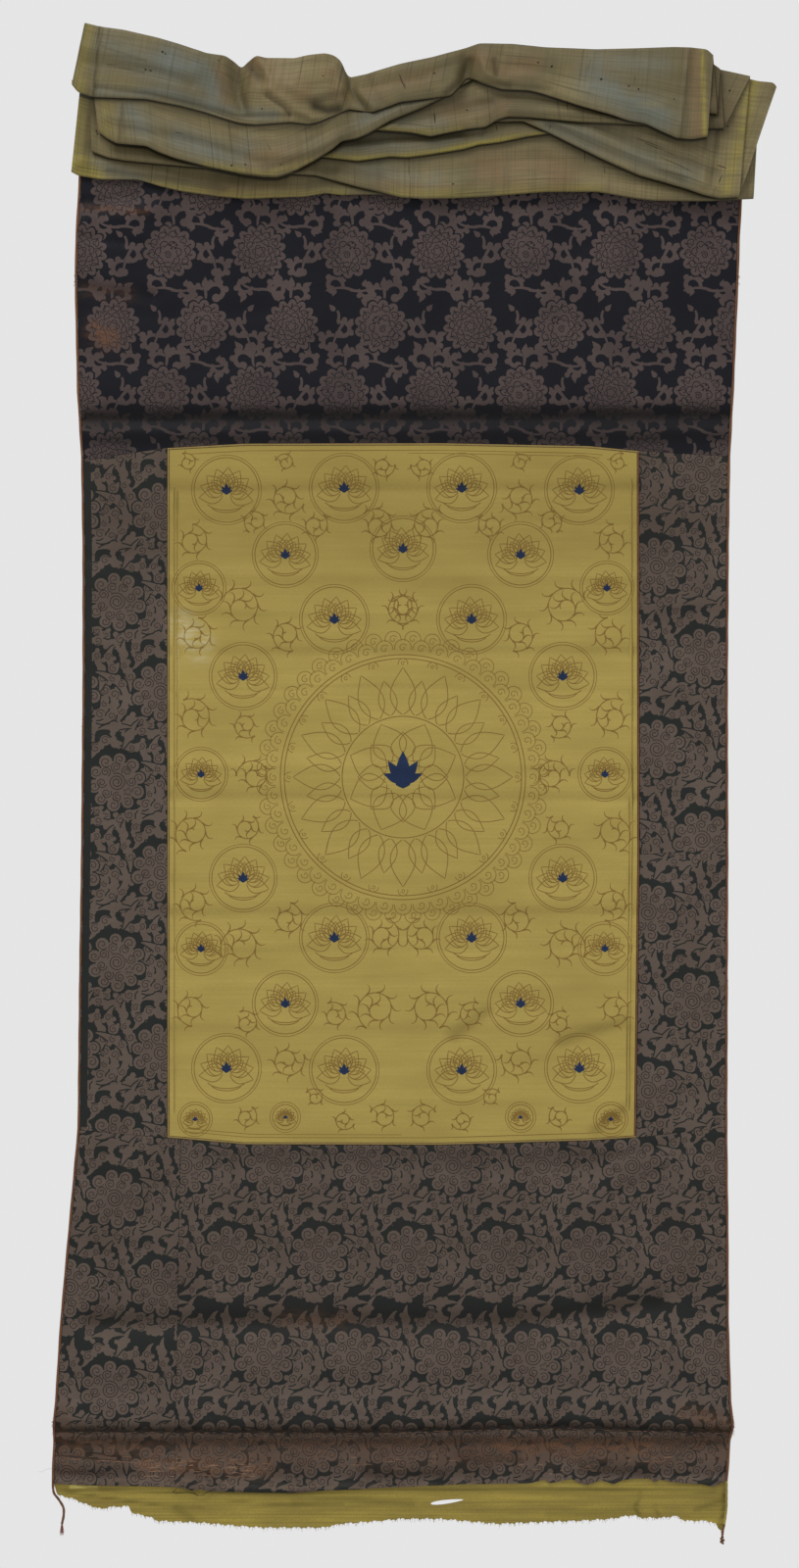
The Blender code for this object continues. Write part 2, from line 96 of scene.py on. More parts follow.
for name, spot, size, watts in (("key", (-1.3, -2.4, 2.4), 1.6, 95), ("fill", (2.6, -3.0, -0.6), 2.2, 18)):
    lamp = bpy.data.lights.new(name, "AREA")
    lamp.size = size
    lamp.energy = watts
    aim(add(name, lamp), spot, (0, 0, -0.6))

room = bpy.data.worlds.new("room")
room.use_nodes = True
for socket, value in (("Color", linear("#e5e5e6")), ("Strength", 1.0)):
    room.node_tree.nodes["Background"].inputs[socket].default_value = value
bpy.context.scene.world = room

FLOOR_CORNERS, FLOOR_Z = ((-6, -6), (6, -6), (6, 6), (-6, 6)), -2.3
# Matt paint, rolled on. The eye sees one even pale grey.
floor_paint = bpy.data.materials.new("matt floor paint")
floor_paint.use_nodes = True
for socket, value in (("Base Color", linear("#e2e2e2")), ("Roughness", 0.9)):
    floor_paint.node_tree.nodes["Principled BSDF"].inputs[socket].default_value = value
floor_mesh = bpy.data.meshes.new("floor")
floor_mesh.from_pydata([(x, y, FLOOR_Z) for x, y in FLOOR_CORNERS], [], [(0, 1, 2, 3)])
add("floor", floor_mesh, floor_paint)

# ---- upper panel ----
# One loom width of black silk damask with a brown-grey pattern of many-petalled flowers and leafy scrolls, sewn
# to the picture and the side strips along its lower edge. Like all the mount's panels it hangs in one plane,
# with the creases that rolling, sewing and its own weight left in it.
SHEET = 1.4  # thickness of the mount's cloth
SEAM_GAP = 0.3  # what two sewn pieces stay apart
HALF_GAP = SEAM_GAP / 2
PIPING = 2.0  # thickness of the piping round the picture
CORD = 2.6  # thickness of the piping down the long edges
CLOTH_IN = CORD + SEAM_GAP  # from the outer edge of the long piping to the cloth beside it
PICTURE_IN = HALF_GAP + PIPING + SEAM_GAP  # from a seam of the picture to the picture's own edge

LONG_EDGES = [  # height, left, right: the scroll's outer edges, piping included
    (0, -326, 347),
    (-86, -330, 348),
    (-140, -333, 345),
    (-185, -334, 343.5),
    (-300, -331.5, 338.5),
    (-366, -327.5, 335),
    (-460, -326, 333.5),
    (-600, -326, 332.5),
    (-770, -327.5, 333),
    (-900, -329.5, 332.5),
    (-1050, -331, 332),
    (-1150, -340, 333),
    (-1250, -349, 333.5),
    (-1330, -354, 336),
    (-1357, -356.5, 339),
    (-1370, -356, 335.5),
    (-1416, -357.5, 332),
]
# Seams, each as x and z of its turning points.
SEAM_ABOVE = [(-326, -371), (-277, -362.5), (-240, -357), (-160, -352.5), (40, -352), (190, -355), (242, -360),
              (335, -366)]
SEAM_BELOW = [(-331, -1053), (-240, -1061), (-160, -1068), (40, -1068.5), (190, -1064), (238, -1061),
              (332, -1050)]
PICTURE_LEFT = [(-239.5, -357), (-239.5, -1061)]
PICTURE_RIGHT = [(242, -360), (242.5, -772), (239, -1061)]



def over_picture(left, right):
    """A line across the picture, from its height at the left to its height at the right."""
    return [(-236, left), (238, right)]


# Creases and swells. Each runs along a line with a soft flank on both sides, and stands towards the viewer, or
# away as a trough where the height is negative.
FOLDS = [  # line, flank, height
    ([(-330, -190), (-255, -202)], 9, -2.0),  # pull below the veil's left end
    ([(-330, -128), (-250, -112)], 10, 2.5),
    ([(-320, -300), (330, -296)], 26, 2.5),  # long swell above the seam
    ([(-322, -328), (337, -326)], 8, -3.5),  # trough, then a ridge, above the picture's top seam
    ([(-322, -341), (337, -339)], 9, 1.8),
    (over_picture(-399, -397), 7, -1.6),  # level creases that rolling left in the picture
    (over_picture(-486, -488), 7, 1.5),
    (over_picture(-566, -564), 7, -1.5),
    (over_picture(-681, -680), 7, 1.5),
    (over_picture(-712, -714), 7, -1.6),
    (over_picture(-831, -830), 8, -1.8),
    (over_picture(-943, -944), 8, 1.8),
    ([(86, -933), (53, -958)], 9, -2.2),  # slanting pulls low in the picture
    ([(229, -941), (162, -964)], 8, -2.0),
    ([(-231, -522), (-205, -547)], 7, -2.0),
    ([(-200, -1092), (210, -1094)], 12, -2.5),  # below the picture's bottom seam
    ([(202, -1084), (273, -1068)], 6, -2.5),  # pulls at the picture's lower right corner
    ([(214, -1122), (268, -1094)], 6, -2.0),
    ([(-300, -1180), (300, -1180)], 50, 5.0),  # belly of the lower panel
    ([(-320, -1247), (120, -1246), (258, -1229)], 13, -5.0),  # deep trough across it
    ([(-330, -1290), (320, -1285)], 26, 3.0),
    ([(-352, -1338), (334, -1336)], 13, 4.5),  # roll above the tuck
    ([(-356, -1360), (-41, -1361), (150, -1356), (337, -1361)], 3.5, -4.0),  # the stitched tuck
    ([(-354, -1372), (334, -1371)], 8, -3.5),  # casing: hollow under the tuck, then rounded out
    ([(-354, -1396), (334, -1396)], 12, 3.0),
    ([(-352, -1385), (-229, -1393)], 4, -2.0),
    ([(-325, -142), (-262, -150)], 5, -1.4),  # finer creases from here on
    ([(-328, -106), (-268, -100)], 5, -1.6),
    ([(-300, -318), (-180, -322), (60, -318), (300, -321)], 4, -1.0),
    ([(-320, -215), (-240, -222), (-120, -216)], 12, -1.2),
    ([(60, -140), (190, -150), (330, -138)], 14, -1.0),
    ([(-236, -433), (40, -430), (238, -436)], 4, -0.7),
    ([(-236, -520), (-60, -526), (238, -521)], 5, 0.8),
    ([(-236, -606), (0, -602), (238, -607)], 4, -0.8),
    (over_picture(-645, -641), 5, 0.6),
    ([(-236, -760), (0, -764), (238, -758)], 5, -0.7),
    (over_picture(-792, -795), 5, 0.7),
    (over_picture(-872, -868), 4, -0.8),
    ([(-236, -905), (0, -909), (238, -903)], 5, 0.7),
    ([(-236, -985), (-60, -989), (238, -982)], 5, -0.8),
    (over_picture(-1020, -1023), 5, 0.7),
    ([(225, -1034), (197, -1054)], 5, -1.4),
    ([(-320, -470), (-245, -462)], 7, -1.2),
    ([(-320, -655), (-245, -664)], 8, 1.2),
    ([(-322, -840), (-245, -832)], 8, -1.2),
    ([(250, -520), (330, -512)], 8, 1.2),
    ([(250, -655), (330, -663)], 7, -1.2),
    ([(250, -905), (330, -896)], 8, -1.2),
    ([(-335, -1098), (-240, -1108)], 8, -1.5),
    ([(-345, -1195), (-230, -1188)], 9, 1.4),
    ([(-120, -1316), (40, -1310), (200, -1318)], 9, -1.4),
    ([(-350, -1347), (-100, -1350), (120, -1346), (336, -1350)], 3.5, 1.6),
    ([(-354, -1404), (-60, -1408), (120, -1402), (330, -1405)], 4, -1.0),
]
# Soiled, rubbed and shaded places: a line, its flank and its strength, which is below 0 where the cloth is paler. The
# dark lines along troughs, creases, seams and the tuck are painted shade.
SOIL_WEAR_AND_SHADE = [
    ([(-337, -1417.5), (-312, -1418.5)], 1.6, -1.5),  # the lining, worn pale below the hem
    ([(-350, -1419), (-200, -1424), (0, -1421), (130, -1419), (320, -1422)], 1.3, 0.75),  # its creases, ten rows, darkened as painted shade
    ([(-344, -1422), (-300, -1429), (-247, -1436), (-204, -1437.5)], 1.4, 0.6),
    ([(-180, -1431), (-130, -1435), (-60, -1436)], 1.2, 0.5),
    ([(242, -1448), (238, -1436), (244, -1424)], 1.5, 0.6),
    ([(262, -1447), (257, -1434)], 1.3, 0.5),
    ([(300, -1440), (325, -1432), (331, -1420)], 2.5, 0.5),
    ([(322, -1460), (327, -1448), (330, -1425)], 1.6, 0.7),
    ([(-110, -1432), (-60, -1430), (10, -1434)], 4, 0.4),
    ([(-230, -1440), (-215, -1450)], 5, 0.4),
    ([(150, -1446), (240, -1440)], 5, 0.3),
    ([(-230, -420), (230, -420)], 110, 0.3),  # the picture is dimmer towards its top
    ([(-322, -325), (337, -323)], 8.5, 0.8),  # troughs, seams and the tuck, darkened as painted shade
    ([(-322, -349), (337, -347)], 5, 0.45),
    ([(-322, -338), (337, -336)], 9, 0.22),
    ([(-330, -190), (-255, -202)], 7, 0.5),
    ([(-200, -1076), (210, -1076)], 9, 0.25),
    ([(-320, -1247), (120, -1246), (258, -1229)], 9, 0.5),
    ([(-356, -1359), (-41, -1360), (150, -1355), (337, -1360)], 5, 0.75),
    ([(-354, -1376), (334, -1375)], 9, 0.35),
    ([(-354, -1371), (334, -1370)], 6, 0.5),
    ([(-352, -1393), (334, -1393)], 12, 0.3),
    ([(-350, -1401), (-305, -1404)], 6, 0.35),
    ([(-36, -1402), (44, -1405)], 6, 0.4),
    ([(60, -1386), (118, -1389)], 6, 0.35),
    ([(186, -1397), (252, -1403)], 7, 0.3),
    ([(-268, -1392), (-150, -1400)], 7, -0.3),
    ([(100, -1398), (180, -1396)], 5, -0.25),
    ([(-320, -1150), (320, -1150)], 70, 0.12),
    ([(-352, -1410), (-229, -1412), (-110, -1418), (330, -1408)], 4, -0.25),
    ([(-225, -535), (-207, -560)], 16, -0.6),
    # painted shade along the picture's troughs and slanting pulls
    (over_picture(-399, -397), 4, 0.2),
    (over_picture(-566, -564), 4, 0.2),
    (over_picture(-712, -714), 4, 0.25),
    (over_picture(-831, -830), 4, 0.25),
    ([(86, -933), (53, -958)], 7, 0.4),
    ([(229, -941), (162, -964)], 6, 0.4),
    ([(225, -1034), (197, -1054)], 6, 0.4),
]
RUST = [  # rust-coloured stains
    ([(-352, -1380), (334, -1380)], 18, 0.16),
    ([(-312, -238), (-298, -246)], 10, 0.45),
    ([(-325, -112), (-262, -116)], 4, 0.25),
    ([(-322, -196), (-280, -200)], 8, 0.12),
    ([(-330, -1374), (-262, -1378)], 8, 0.08),
    ([(-262, -1396), (-140, -1400)], 9, 0.3),
    ([(288, -1340), (330, -1352)], 8, 0.3),
    ([(-345, -1330), (-338, -1400)], 7, 0.1),
    ([(100, -1376), (250, -1378)], 8, 0.2),
    ([(-120, -1245), (-60, -1248)], 10, 0.15),
]


def spread(x, z, line, flank):
    """1 on a line, fading to 0 over a soft flank."""
    nearest = np.full(np.shape(x), 1e9)
    for (x0, z0), (x1, z1) in zip(line, line[1:]):
        along, up = x1 - x0, z1 - z0
        share = np.clip(((x - x0) * along + (z - z0) * up) / (along ** 2 + up ** 2), 0, 1)
        nearest = np.minimum(nearest, (x - x0 - share * along) ** 2 + (z - z0 - share * up) ** 2)
    return np.exp(-nearest / flank ** 2)


def total_of(rows, x, z):
    """What the rows of a table of lines, flanks and strengths add up to at these points."""
    total = np.zeros(np.shape(x))
    for line, flank, strength in rows:
        across, up = zip(*line)
        if (min(across) - 3 * flank < np.max(x) and max(across) + 3 * flank > np.min(x)
                and min(up) - 3 * flank < np.max(z) and max(up) + 3 * flank > np.min(z)):
            total += strength * spread(x, z, line, flank)
    return total


def relief(x, z):
    """y of the hanging cloth's middle surface."""
    drift = 0.25 * np.sin(x / 31 + z / 47) + 0.25 * np.sin(x / 19 - z / 63 + 1.3)
    return drift - total_of(FOLDS, x, z)


def height_on(seam, x):
    """z of a line that runs to the right, at x."""
    return np.interp(x, [p[0] for p in seam], [p[1] for p in seam])


def upright(line, inwards):
    """x of an upright edge, whose points run downwards, as a function of height."""
    return lambda z: np.interp(-z, [-p[1] for p in line], [p[0] for p in line]) + inwards


def level(line, upwards):
    """z of a level edge as a function of x."""
    return lambda x: height_on(line, x) + upwards


cloth_left = upright([(row[1], row[0]) for row in LONG_EDGES], CLOTH_IN)
cloth_right = upright([(row[2], row[0]) for row in LONG_EDGES], -CLOTH_IN)


def steady(value):
    """A straight edge that keeps one x or z all along."""
    return lambda along: value + 0.0 * along


def place(left, right, top, bottom, across, up):
    """x and z at shares from 0 to 1 across and up a panel."""
    z = bottom(0.0) * (1 - up) + top(0.0) * up
    for _ in range(8):
        x = left(z) * (1 - across) + right(z) * across
        z = bottom(x) * (1 - up) + top(x) * up
    return np.stack([x, z], -1)


def rim_of(left, right, top, bottom, step=3.0):
    """A panel's four sides, anticlockwise from its lower left corner, each with a point every few millimetres."""
    corners = place(left, right, top, bottom, np.array([0.0, 1, 1, 0, 0]), np.array([0.0, 0, 1, 1, 0]))
    sides = []
    for i in range(4):
        count = max(2, round(np.hypot(*(corners[i + 1] - corners[i])) / step))
        share = np.arange(count) / count
        still = np.full(count, (0.0, 1.0, 1.0, 0.0)[i])
        across, up = ((share, still), (still, share), (1 - share, still), (still, 1 - share))[i]
        sides.append(place(left, right, top, bottom, across, up))
    return sides


def signed_area(points):
    """A ring's area, above 0 where it runs anticlockwise."""
    x, z = np.array(points).T
    return (x * np.roll(z, -1) - z * np.roll(x, -1)).sum() / 2


def inside_of(points, outline):
    """The points that lie inside the outline."""
    x, z = points.T
    inside = np.zeros(len(points), bool)
    for (x0, z0), (x1, z1) in zip(outline, np.roll(outline, -1, axis=0)):
        if z0 != z1:
            inside ^= ((z0 > z) != (z1 > z)) & (x < (x1 - x0) * (z - z0) / (z1 - z0) + x0)
    return points[inside]


def grid_in(outline, across, up):
    """Evenly spaced points inside the outline, every other row set off by half a step."""
    low, high = outline.min(0), outline.max(0)
    rows = [np.stack(np.broadcast_arrays(np.arange(low[0] + across / 2 * (i % 2), high[0], across), z), 1)
            for i, z in enumerate(np.arange(low[1] + up / 2, high[1], up))]
    return inside_of(np.vstack(rows), outline)


def cut_up(outline, shapes, holes, loose, edges=()):
    """Cuts the area within the outline into triangles along the edges of the shapes, and along loose edges between
    loose points. Returns the points, where each came from, the triangles and the topmost shape on each."""
    rings, faces, count = [], [], 0
    for ring in [outline] + [points for points, _ in shapes] + list(holes):
        ring = np.array(ring)
        rings.append(ring if signed_area(ring) > 0 else ring[::-1])
        faces.append(list(range(count, count + len(ring))))
        count += len(ring)
    flat = np.vstack(rings + [loose])
    points, _, triangles, sources, _, areas = delaunay_2d_cdt(
        [Vector(p) for p in flat], [(a + count, b + count) for a, b in edges], faces, 1, 1e-4, True)
    inner = [(t, max(origins)) for t, origins in zip(triangles, areas)
             if 0 in origins and max(origins) <= len(shapes)]
    return np.array([tuple(p) for p in points]), sources, [t for t, _ in inner], [top for _, top in inner]


STRAIGHT = 0.07  # how far a point stands off the line between its neighbours before it is kept


def seen_edges(points, triangles, tones):
    """The lines along which two tones meet, as runs of points without those that lie straight between others."""
    x, z = points.T.tolist()
    tones_at, after = {}, {}
    for triangle, tone in zip(triangles, tones):
        for a, b in zip(triangle, triangle[1:] + triangle[:1]):
            tones_at.setdefault((min(a, b), max(a, b)), []).append(tone)
    for (a, b), pair in tones_at.items():
        if len(pair) == 2 and pair[0] != pair[1]:
            after.setdefault(a, []).append(b)
            after.setdefault(b, []).append(a)
    runs, left = [], {frozenset((a, b)) for a in after for b in after[a]}
    for start in sorted(after, key=lambda i: (len(after[i]) == 2, i)):  # forks and ends first, then closed rings
        for follow in after[start]:
            if frozenset((start, follow)) not in left:
                continue
            run = [start, follow]
            left.discard(frozenset(run))
            while len(after[run[-1]]) == 2 and run[-1] != start:
                a, b = after[run[-1]]
                run.append(b if a == run[-2] else a)
                left.discard(frozenset(run[-2:]))
            kept = [run[0]]
            for here, there in zip(run[1:-1], run[2:]):
                x0, z0 = x[kept[-1]], z[kept[-1]]
                along, up = x[there] - x0, z[there] - z0
                apart = abs((x[here] - x0) * up - (z[here] - z0) * along)
                if apart > STRAIGHT * (along * along + up * up) ** 0.5 or len(kept) < 2:
                    kept.append(here)
            runs.append(kept + [run[-1]])
    return runs


def triangulate(outline, shapes, holes, inside):
    """Cuts a patterned cloth into triangles along the edges that show, with more points inside. Returns the points,
    where each came from, the triangles and the tone that lies topmost on each."""
    if not shapes:
        points, origins, triangles, _ = cut_up(outline, [], holes, inside)
        return points, origins, triangles, [0] * len(triangles)
    points, _, triangles, tops = cut_up(outline, shapes, holes, inside[:0])
    tones = [shapes[top - 1][1] if top else 0 for top in tops]
    skin = BVHTree.FromPolygons([(x, z, 0) for x, z in points], triangles)
    runs = seen_edges(points, triangles, tones)
    used = sorted({i for run in runs for i in run})
    number = {old: new for new, old in enumerate(used)}
    edges = [(number[a], number[b]) for run in runs for a, b in zip(run, run[1:])]
    points, origins, triangles, _ = cut_up(outline, [], holes, np.vstack([points[used], inside]), edges)
    middles = points[np.array(triangles)].mean(1)
    return points, origins, triangles, [tones[skin.find_nearest((x, z, 0))[2]] for x, z in middles]


def rings_round(triangles):
    """The open borders of a set of triangles, as rings of point numbers."""
    edges = {(t[i], t[(i + 1) % 3]) for t in triangles for i in range(3)}
    after = {a: b for a, b in edges if (b, a) not in edges}
    rings = []
    while after:
        ring = [next(iter(sorted(after)))]
        while ring[-1] in after:
            ring.append(after.pop(ring[-1]))
        rings.append(ring[:-1])
    return rings


def piece(name, points, faces, *surfaces):
    """A smooth mesh from points in millimetres. Every piece rides on the scroll's one body."""
    mesh = bpy.data.meshes.new(name)
    mesh.from_pydata(np.array(points) * MM, [], faces)
    mesh.shade_smooth()
    made = add(name, mesh, *surfaces)
    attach(made, "root")
    return made


def keep(made, name, values):
    """Keeps a value at each point of a piece, for its material to read."""
    kept = made.data.attributes.new(name, "FLOAT", "POINT")
    kept.data.foreach_set("value", values.astype(np.float32))


BACK_STEP = (18, 5)  # between the points of a cloth's plain back, across and up


def cloth(name, outline, surfaces, shapes=(), holes=(), thickness=SHEET, behind=0.0, step=(6.0, 3.0)):
    """A sheet of cloth with a pattern. Shapes are outlines with their tones, painted one over another, and a tone
    is the number of its surface. The back is plain."""
    low, high = outline.min(0), outline.max(0)
    near = [(points, tone) for points, tone in shapes
            if (points.max(0) > low).all() and (points.min(0) < high).all()]
    flat, _, triangles, tones = triangulate(outline, near, holes, grid_in(outline, *step))
    used = sorted({i for t in triangles for i in t})
    number = {old: new for new, old in enumerate(used)}
    flat = flat[used]
    triangles = [[number[i] for i in t] for t in triangles]
    rings = sorted(rings_round(triangles), key=lambda ring: -abs(signed_area(flat[ring])))
    back_flat, origins, back_triangles, _ = triangulate(
        flat[rings[0]], [], [flat[ring] for ring in rings[1:]], grid_in(outline, *BACK_STEP))
    partner = {}  # the back's point for each point of the rings
    ring_points = [i for ring in rings for i in (ring if signed_area(flat[ring]) > 0 else ring[::-1])]
    for i, sources in enumerate(origins):
        for source in sources:
            if source < len(ring_points):
                partner[ring_points[source]] = i + len(flat)
    faces = triangles + [[i + len(flat) for i in t[::-1]] for t in back_triangles]
    for ring in rings:
        for a, b in zip(ring, ring[1:] + ring[:1]):
            if a in partner and b in partner:
                faces.append([b, a, partner[a], partner[b]])

    across, up = np.vstack([flat, back_flat]).T
    middle = relief(across, up) + behind
    nudge = 0.3
    lean_x = (relief(across + nudge, up) + behind - middle) / nudge
    lean_z = (relief(across, up + nudge) + behind - middle) / nudge
    is_back = np.arange(len(across)) >= len(flat)
    depth = middle + np.where(is_back, thickness / 2, -thickness / 2)
    facing = np.stack([lean_x, -np.ones(len(across)), lean_z], 1)
    facing /= np.linalg.norm(facing, axis=1)[:, None]
    facing[is_back] *= -1

    spots = np.stack([across, depth, up], 1)
    made = piece(name, spots, faces, *surfaces)
    made.data.polygons.foreach_set("material_index", tones + [0] * (len(faces) - len(tones)))
    # dirt, wear and painted shade in the troughs and creases, kept for the material
    keep(made, "soil_wear_and_shade", total_of(SOIL_WEAR_AND_SHADE, across, up))
    keep(made, "rust", total_of(RUST, across, up))
    corners = np.array([i for face in faces for i in face])
    normals = facing[corners]
    first_rim = 3 * (len(triangles) + len(back_triangles))
    rim = spots[corners[first_rim:]].reshape(-1, 4, 3)
    rim_facing = np.cross(rim[:, 1] - rim[:, 0], rim[:, 2] - rim[:, 0])
    rim_facing /= np.maximum(np.linalg.norm(rim_facing, axis=1), 1e-9)[:, None]
    normals[first_rim:] = np.repeat(rim_facing, 4, axis=0)
    made.data.normals_split_custom_set(normals)
    return made


def grain(tree, spot, scale, detail, low, high):
    """Noise with this many patches to the metre along x, y and z, as a share from 0 at low to 1 at high."""
    placed = node(tree, "Mapping", {"Vector": spot, "Scale": scale}).outputs[0]
    noise = node(tree, "TexNoise", {"Vector": placed, "Scale": 1.0, "Detail": detail}).outputs["Fac"]
    return node(tree, "MapRange", {"Value": noise, "From Min": low, "From Max": high}).outputs[0]


def laid_over(tree, tone, layers):
    """A colour turned in steps towards others. Each step has a share, what that is multiplied by, and the colour.
    A share given by its name is one that is kept at the points."""
    for share, factor, colour in layers:
        if isinstance(share, str):
            kept = node(tree, "Attribute", attribute_name=share).outputs["Fac"]
            share = node(tree, "Clamp", {0: kept}).outputs[0]
        amount = node(tree, "Math", {0: share, 1: factor}, operation="MULTIPLY").outputs[0]
        tone = node(tree, "MixRGB", {"Fac": amount, "Color1": tone, "Color2": linear(colour)}).outputs[0]
    return tone


def silk(surface, tone, height, bump, roughness, shine, sheen=0.0):
    """Finishes a silk material with its colour, the height of its weave, and its shine."""
    tree = surface.node_tree
    shader = tree.nodes["Principled BSDF"]
    weave = node(tree, "Bump", {"Height": height, "Strength": bump, "Distance": 0.0004}).outputs[0]
    tree.links.new(tone, shader.inputs["Base Color"])
    tree.links.new(weave, shader.inputs["Normal"])
    for socket, value in (("Roughness", roughness), ("Specular IOR Level", shine), ("Sheen Weight", sheen)):
        shader.inputs[socket].default_value = value
    return surface


RUST_COLOUR = "#6e4729"


def woven(name, colour, deep, across=(22, 22, 22), streak=(8, 8, 700), streaky=0.35, patchy=0.5, fine=900,
          roughness=0.6, sheen=0.0, bump=0.25, soiled_and_shaded="#17130f", worn="#8c8074"):
    """Woven silk. The eye sees slow patches between two shades, level threads that differ a little, dark creases with
    dirt and painted shade laid on them, paler rubbed ones, and close by a grain of crossing threads. Patches are about
    45 mm wide. The real threads, 0.1 to 0.2 mm apart, are too fine to show, so they are drawn about 1.4 and 1.1 mm
    apart."""
    made = bpy.data.materials.new(name)
    made.use_nodes = True
    tree = made.node_tree
    spot = node(tree, "TexCoord").outputs["Object"]
    threads = grain(tree, spot, (fine, fine / 8, fine / 3), 1.0, 0.3, 0.7)
    soil_wear_and_shade = node(tree, "Attribute", attribute_name="soil_wear_and_shade").outputs["Fac"]
    paler = node(tree, "Math", {0: soil_wear_and_shade, 1: -1.0}, operation="MULTIPLY").outputs[0]
    rubbed = node(tree, "Clamp", {0: paler}).outputs[0]
    tone = laid_over(tree, linear(colour), (
        (grain(tree, spot, across, 4.0, 0.35, 0.68), patchy, deep),
        (grain(tree, spot, streak, 2.0, 0.35, 0.75), streaky, deep),
        (threads, 0.3, deep),
        # darker where soiled, and painted shade in the troughs and creases
        ("soil_wear_and_shade", 1.0, soiled_and_shaded),
        ("rust", grain(tree, spot, (90, 90, 200), 3.0, 0.3, 0.6), RUST_COLOUR),
        (rubbed, grain(tree, spot, (60, 60, 260), 3.0, 0.35, 0.6), worn)))
    return silk(made, tone, threads, bump, roughness, 0.12, sheen)


GROUND, FIGURE, LINE = 0, 1, 2  # tones of a damask


def round_about(x, z, radius, at, squash=1.0):
    """A point, or points, at this distance and angle from a centre. The angle is in radians."""
    return np.stack([x + radius * np.cos(at), z + radius * squash * np.sin(at)], -1)


def turned_to(points, x, z, turn):
    """Points turned about the origin by some degrees, then moved to x and z."""
    c, s = np.cos(np.radians(turn)), np.sin(np.radians(turn))
    across, up = points.T
    return np.stack([x + across * c - up * s, z + across * s + up * c], 1)


def band(line, width, tone=FIGURE):
    """A strip along a line. The width is one number, or one for each point."""
    line = np.array(line, float)
    ahead = np.gradient(line, axis=0)
    aside = np.stack([-ahead[:, 1], ahead[:, 0]], 1) / np.maximum(np.hypot(*ahead.T), 1e-9)[:, None]
    half = (np.ones(len(line)) * width / 2)[:, None]
    return np.vstack([line + aside * half, (line - aside * half)[::-1]]), tone


def spiral(x, z, radius, turns, start, hand=1, step=1.4):
    """Points of a line that winds inwards from this radius. The start is in degrees, and hand is 1 or -1."""
    share = np.linspace(0, 1, max(7, int(np.pi * radius * turns * 1.15 / step)))
    turned = np.radians(start) + hand * 2 * np.pi * turns * share
    return round_about(x, z, radius * (1 - 0.82 * share), turned)


def disc(x, z, radius, tone=FIGURE, count=14):
    """A round patch."""
    return round_about(x, z, radius, 2 * np.pi * np.arange(count) / count), tone


def petals(x, z, count, inner, outer, turn=0.0, blunt=1.3, tone=FIGURE):
    """A flower's outline, its petals reaching from an inner to an outer radius."""
    share = np.arange(count * 6) / (count * 6)
    within = 2 * np.abs((share * count) % 1 - 0.5)
    out = inner + (outer - inner) * (1 - within ** blunt)
    return round_about(x, z, out, 2 * np.pi * share + np.radians(turn)), tone


def tendril(x, z, heading, length, turn, wide, thin, late=1.5, step=1.8):
    """Points and widths of a stroke that starts off at a heading and turns more and more, in degrees."""
    share = np.linspace(0, 1, max(5, int(length / step)))
    ahead = np.radians(heading + turn * share ** late)
    steps = np.stack([np.cos(ahead), np.sin(ahead)], 1) * length / (len(share) - 1)
    points = np.array([x, z]) + np.vstack([[0, 0], np.cumsum(steps[:-1], axis=0)])
    return points, wide + (thin - wide) * share


def scrolls(rows, tone=FIGURE, grow=0.0, step=1.8):
    """Strokes from a table: x, z, heading, length, turn, width at the root and at the tip, and the round end.
    They may all be drawn that much larger."""
    found = []
    for x, z, heading, length, turn, wide, thin, bulb in rows:
        points, widths = tendril(x, z, heading, length, turn, wide, thin, step=step)
        found.append(band(points, widths + 2 * grow, tone))
        if bulb:
            found.append(disc(*points[-1], bulb + grow, tone))
    return found


def moved(shapes, x, z, turn=0.0, mirror=False, size=1.0):
    """The same shapes, turned, mirrored and sized about their own origin, then put at x and z."""
    sizes = (-size if mirror else size, size)
    return [(turned_to(points * sizes, x, z, turn), tone) for points, tone in shapes]


def arc(x, z, radius, start, end, squash=1.0, step=3.0):
    """Points along part of a circle, from one angle to another in degrees."""
    count = max(4, int(abs(np.radians(end - start)) * radius / step))
    return round_about(x, z, radius, np.radians(np.linspace(start, end, count)), squash)


def ring_of_lobes(count, out, radius, turn, x=0.0, z=0.0, width=0.9):
    """Round petals in a ring, each drawn as a dark line that bows out and hooks in at one end."""
    found = []
    for i in range(count):
        at = turn + 360 * i / count
        cx, cz = round_about(x, z, out, np.radians(at))
        bow = arc(cx, cz, radius, at - 118, at + 96, step=1.5)
        hook = arc(cx, cz, radius * 0.42, at + 110, at + 285, step=1.2)
        found.append(band(np.vstack([bow, hook]), width, LINE))
    return found


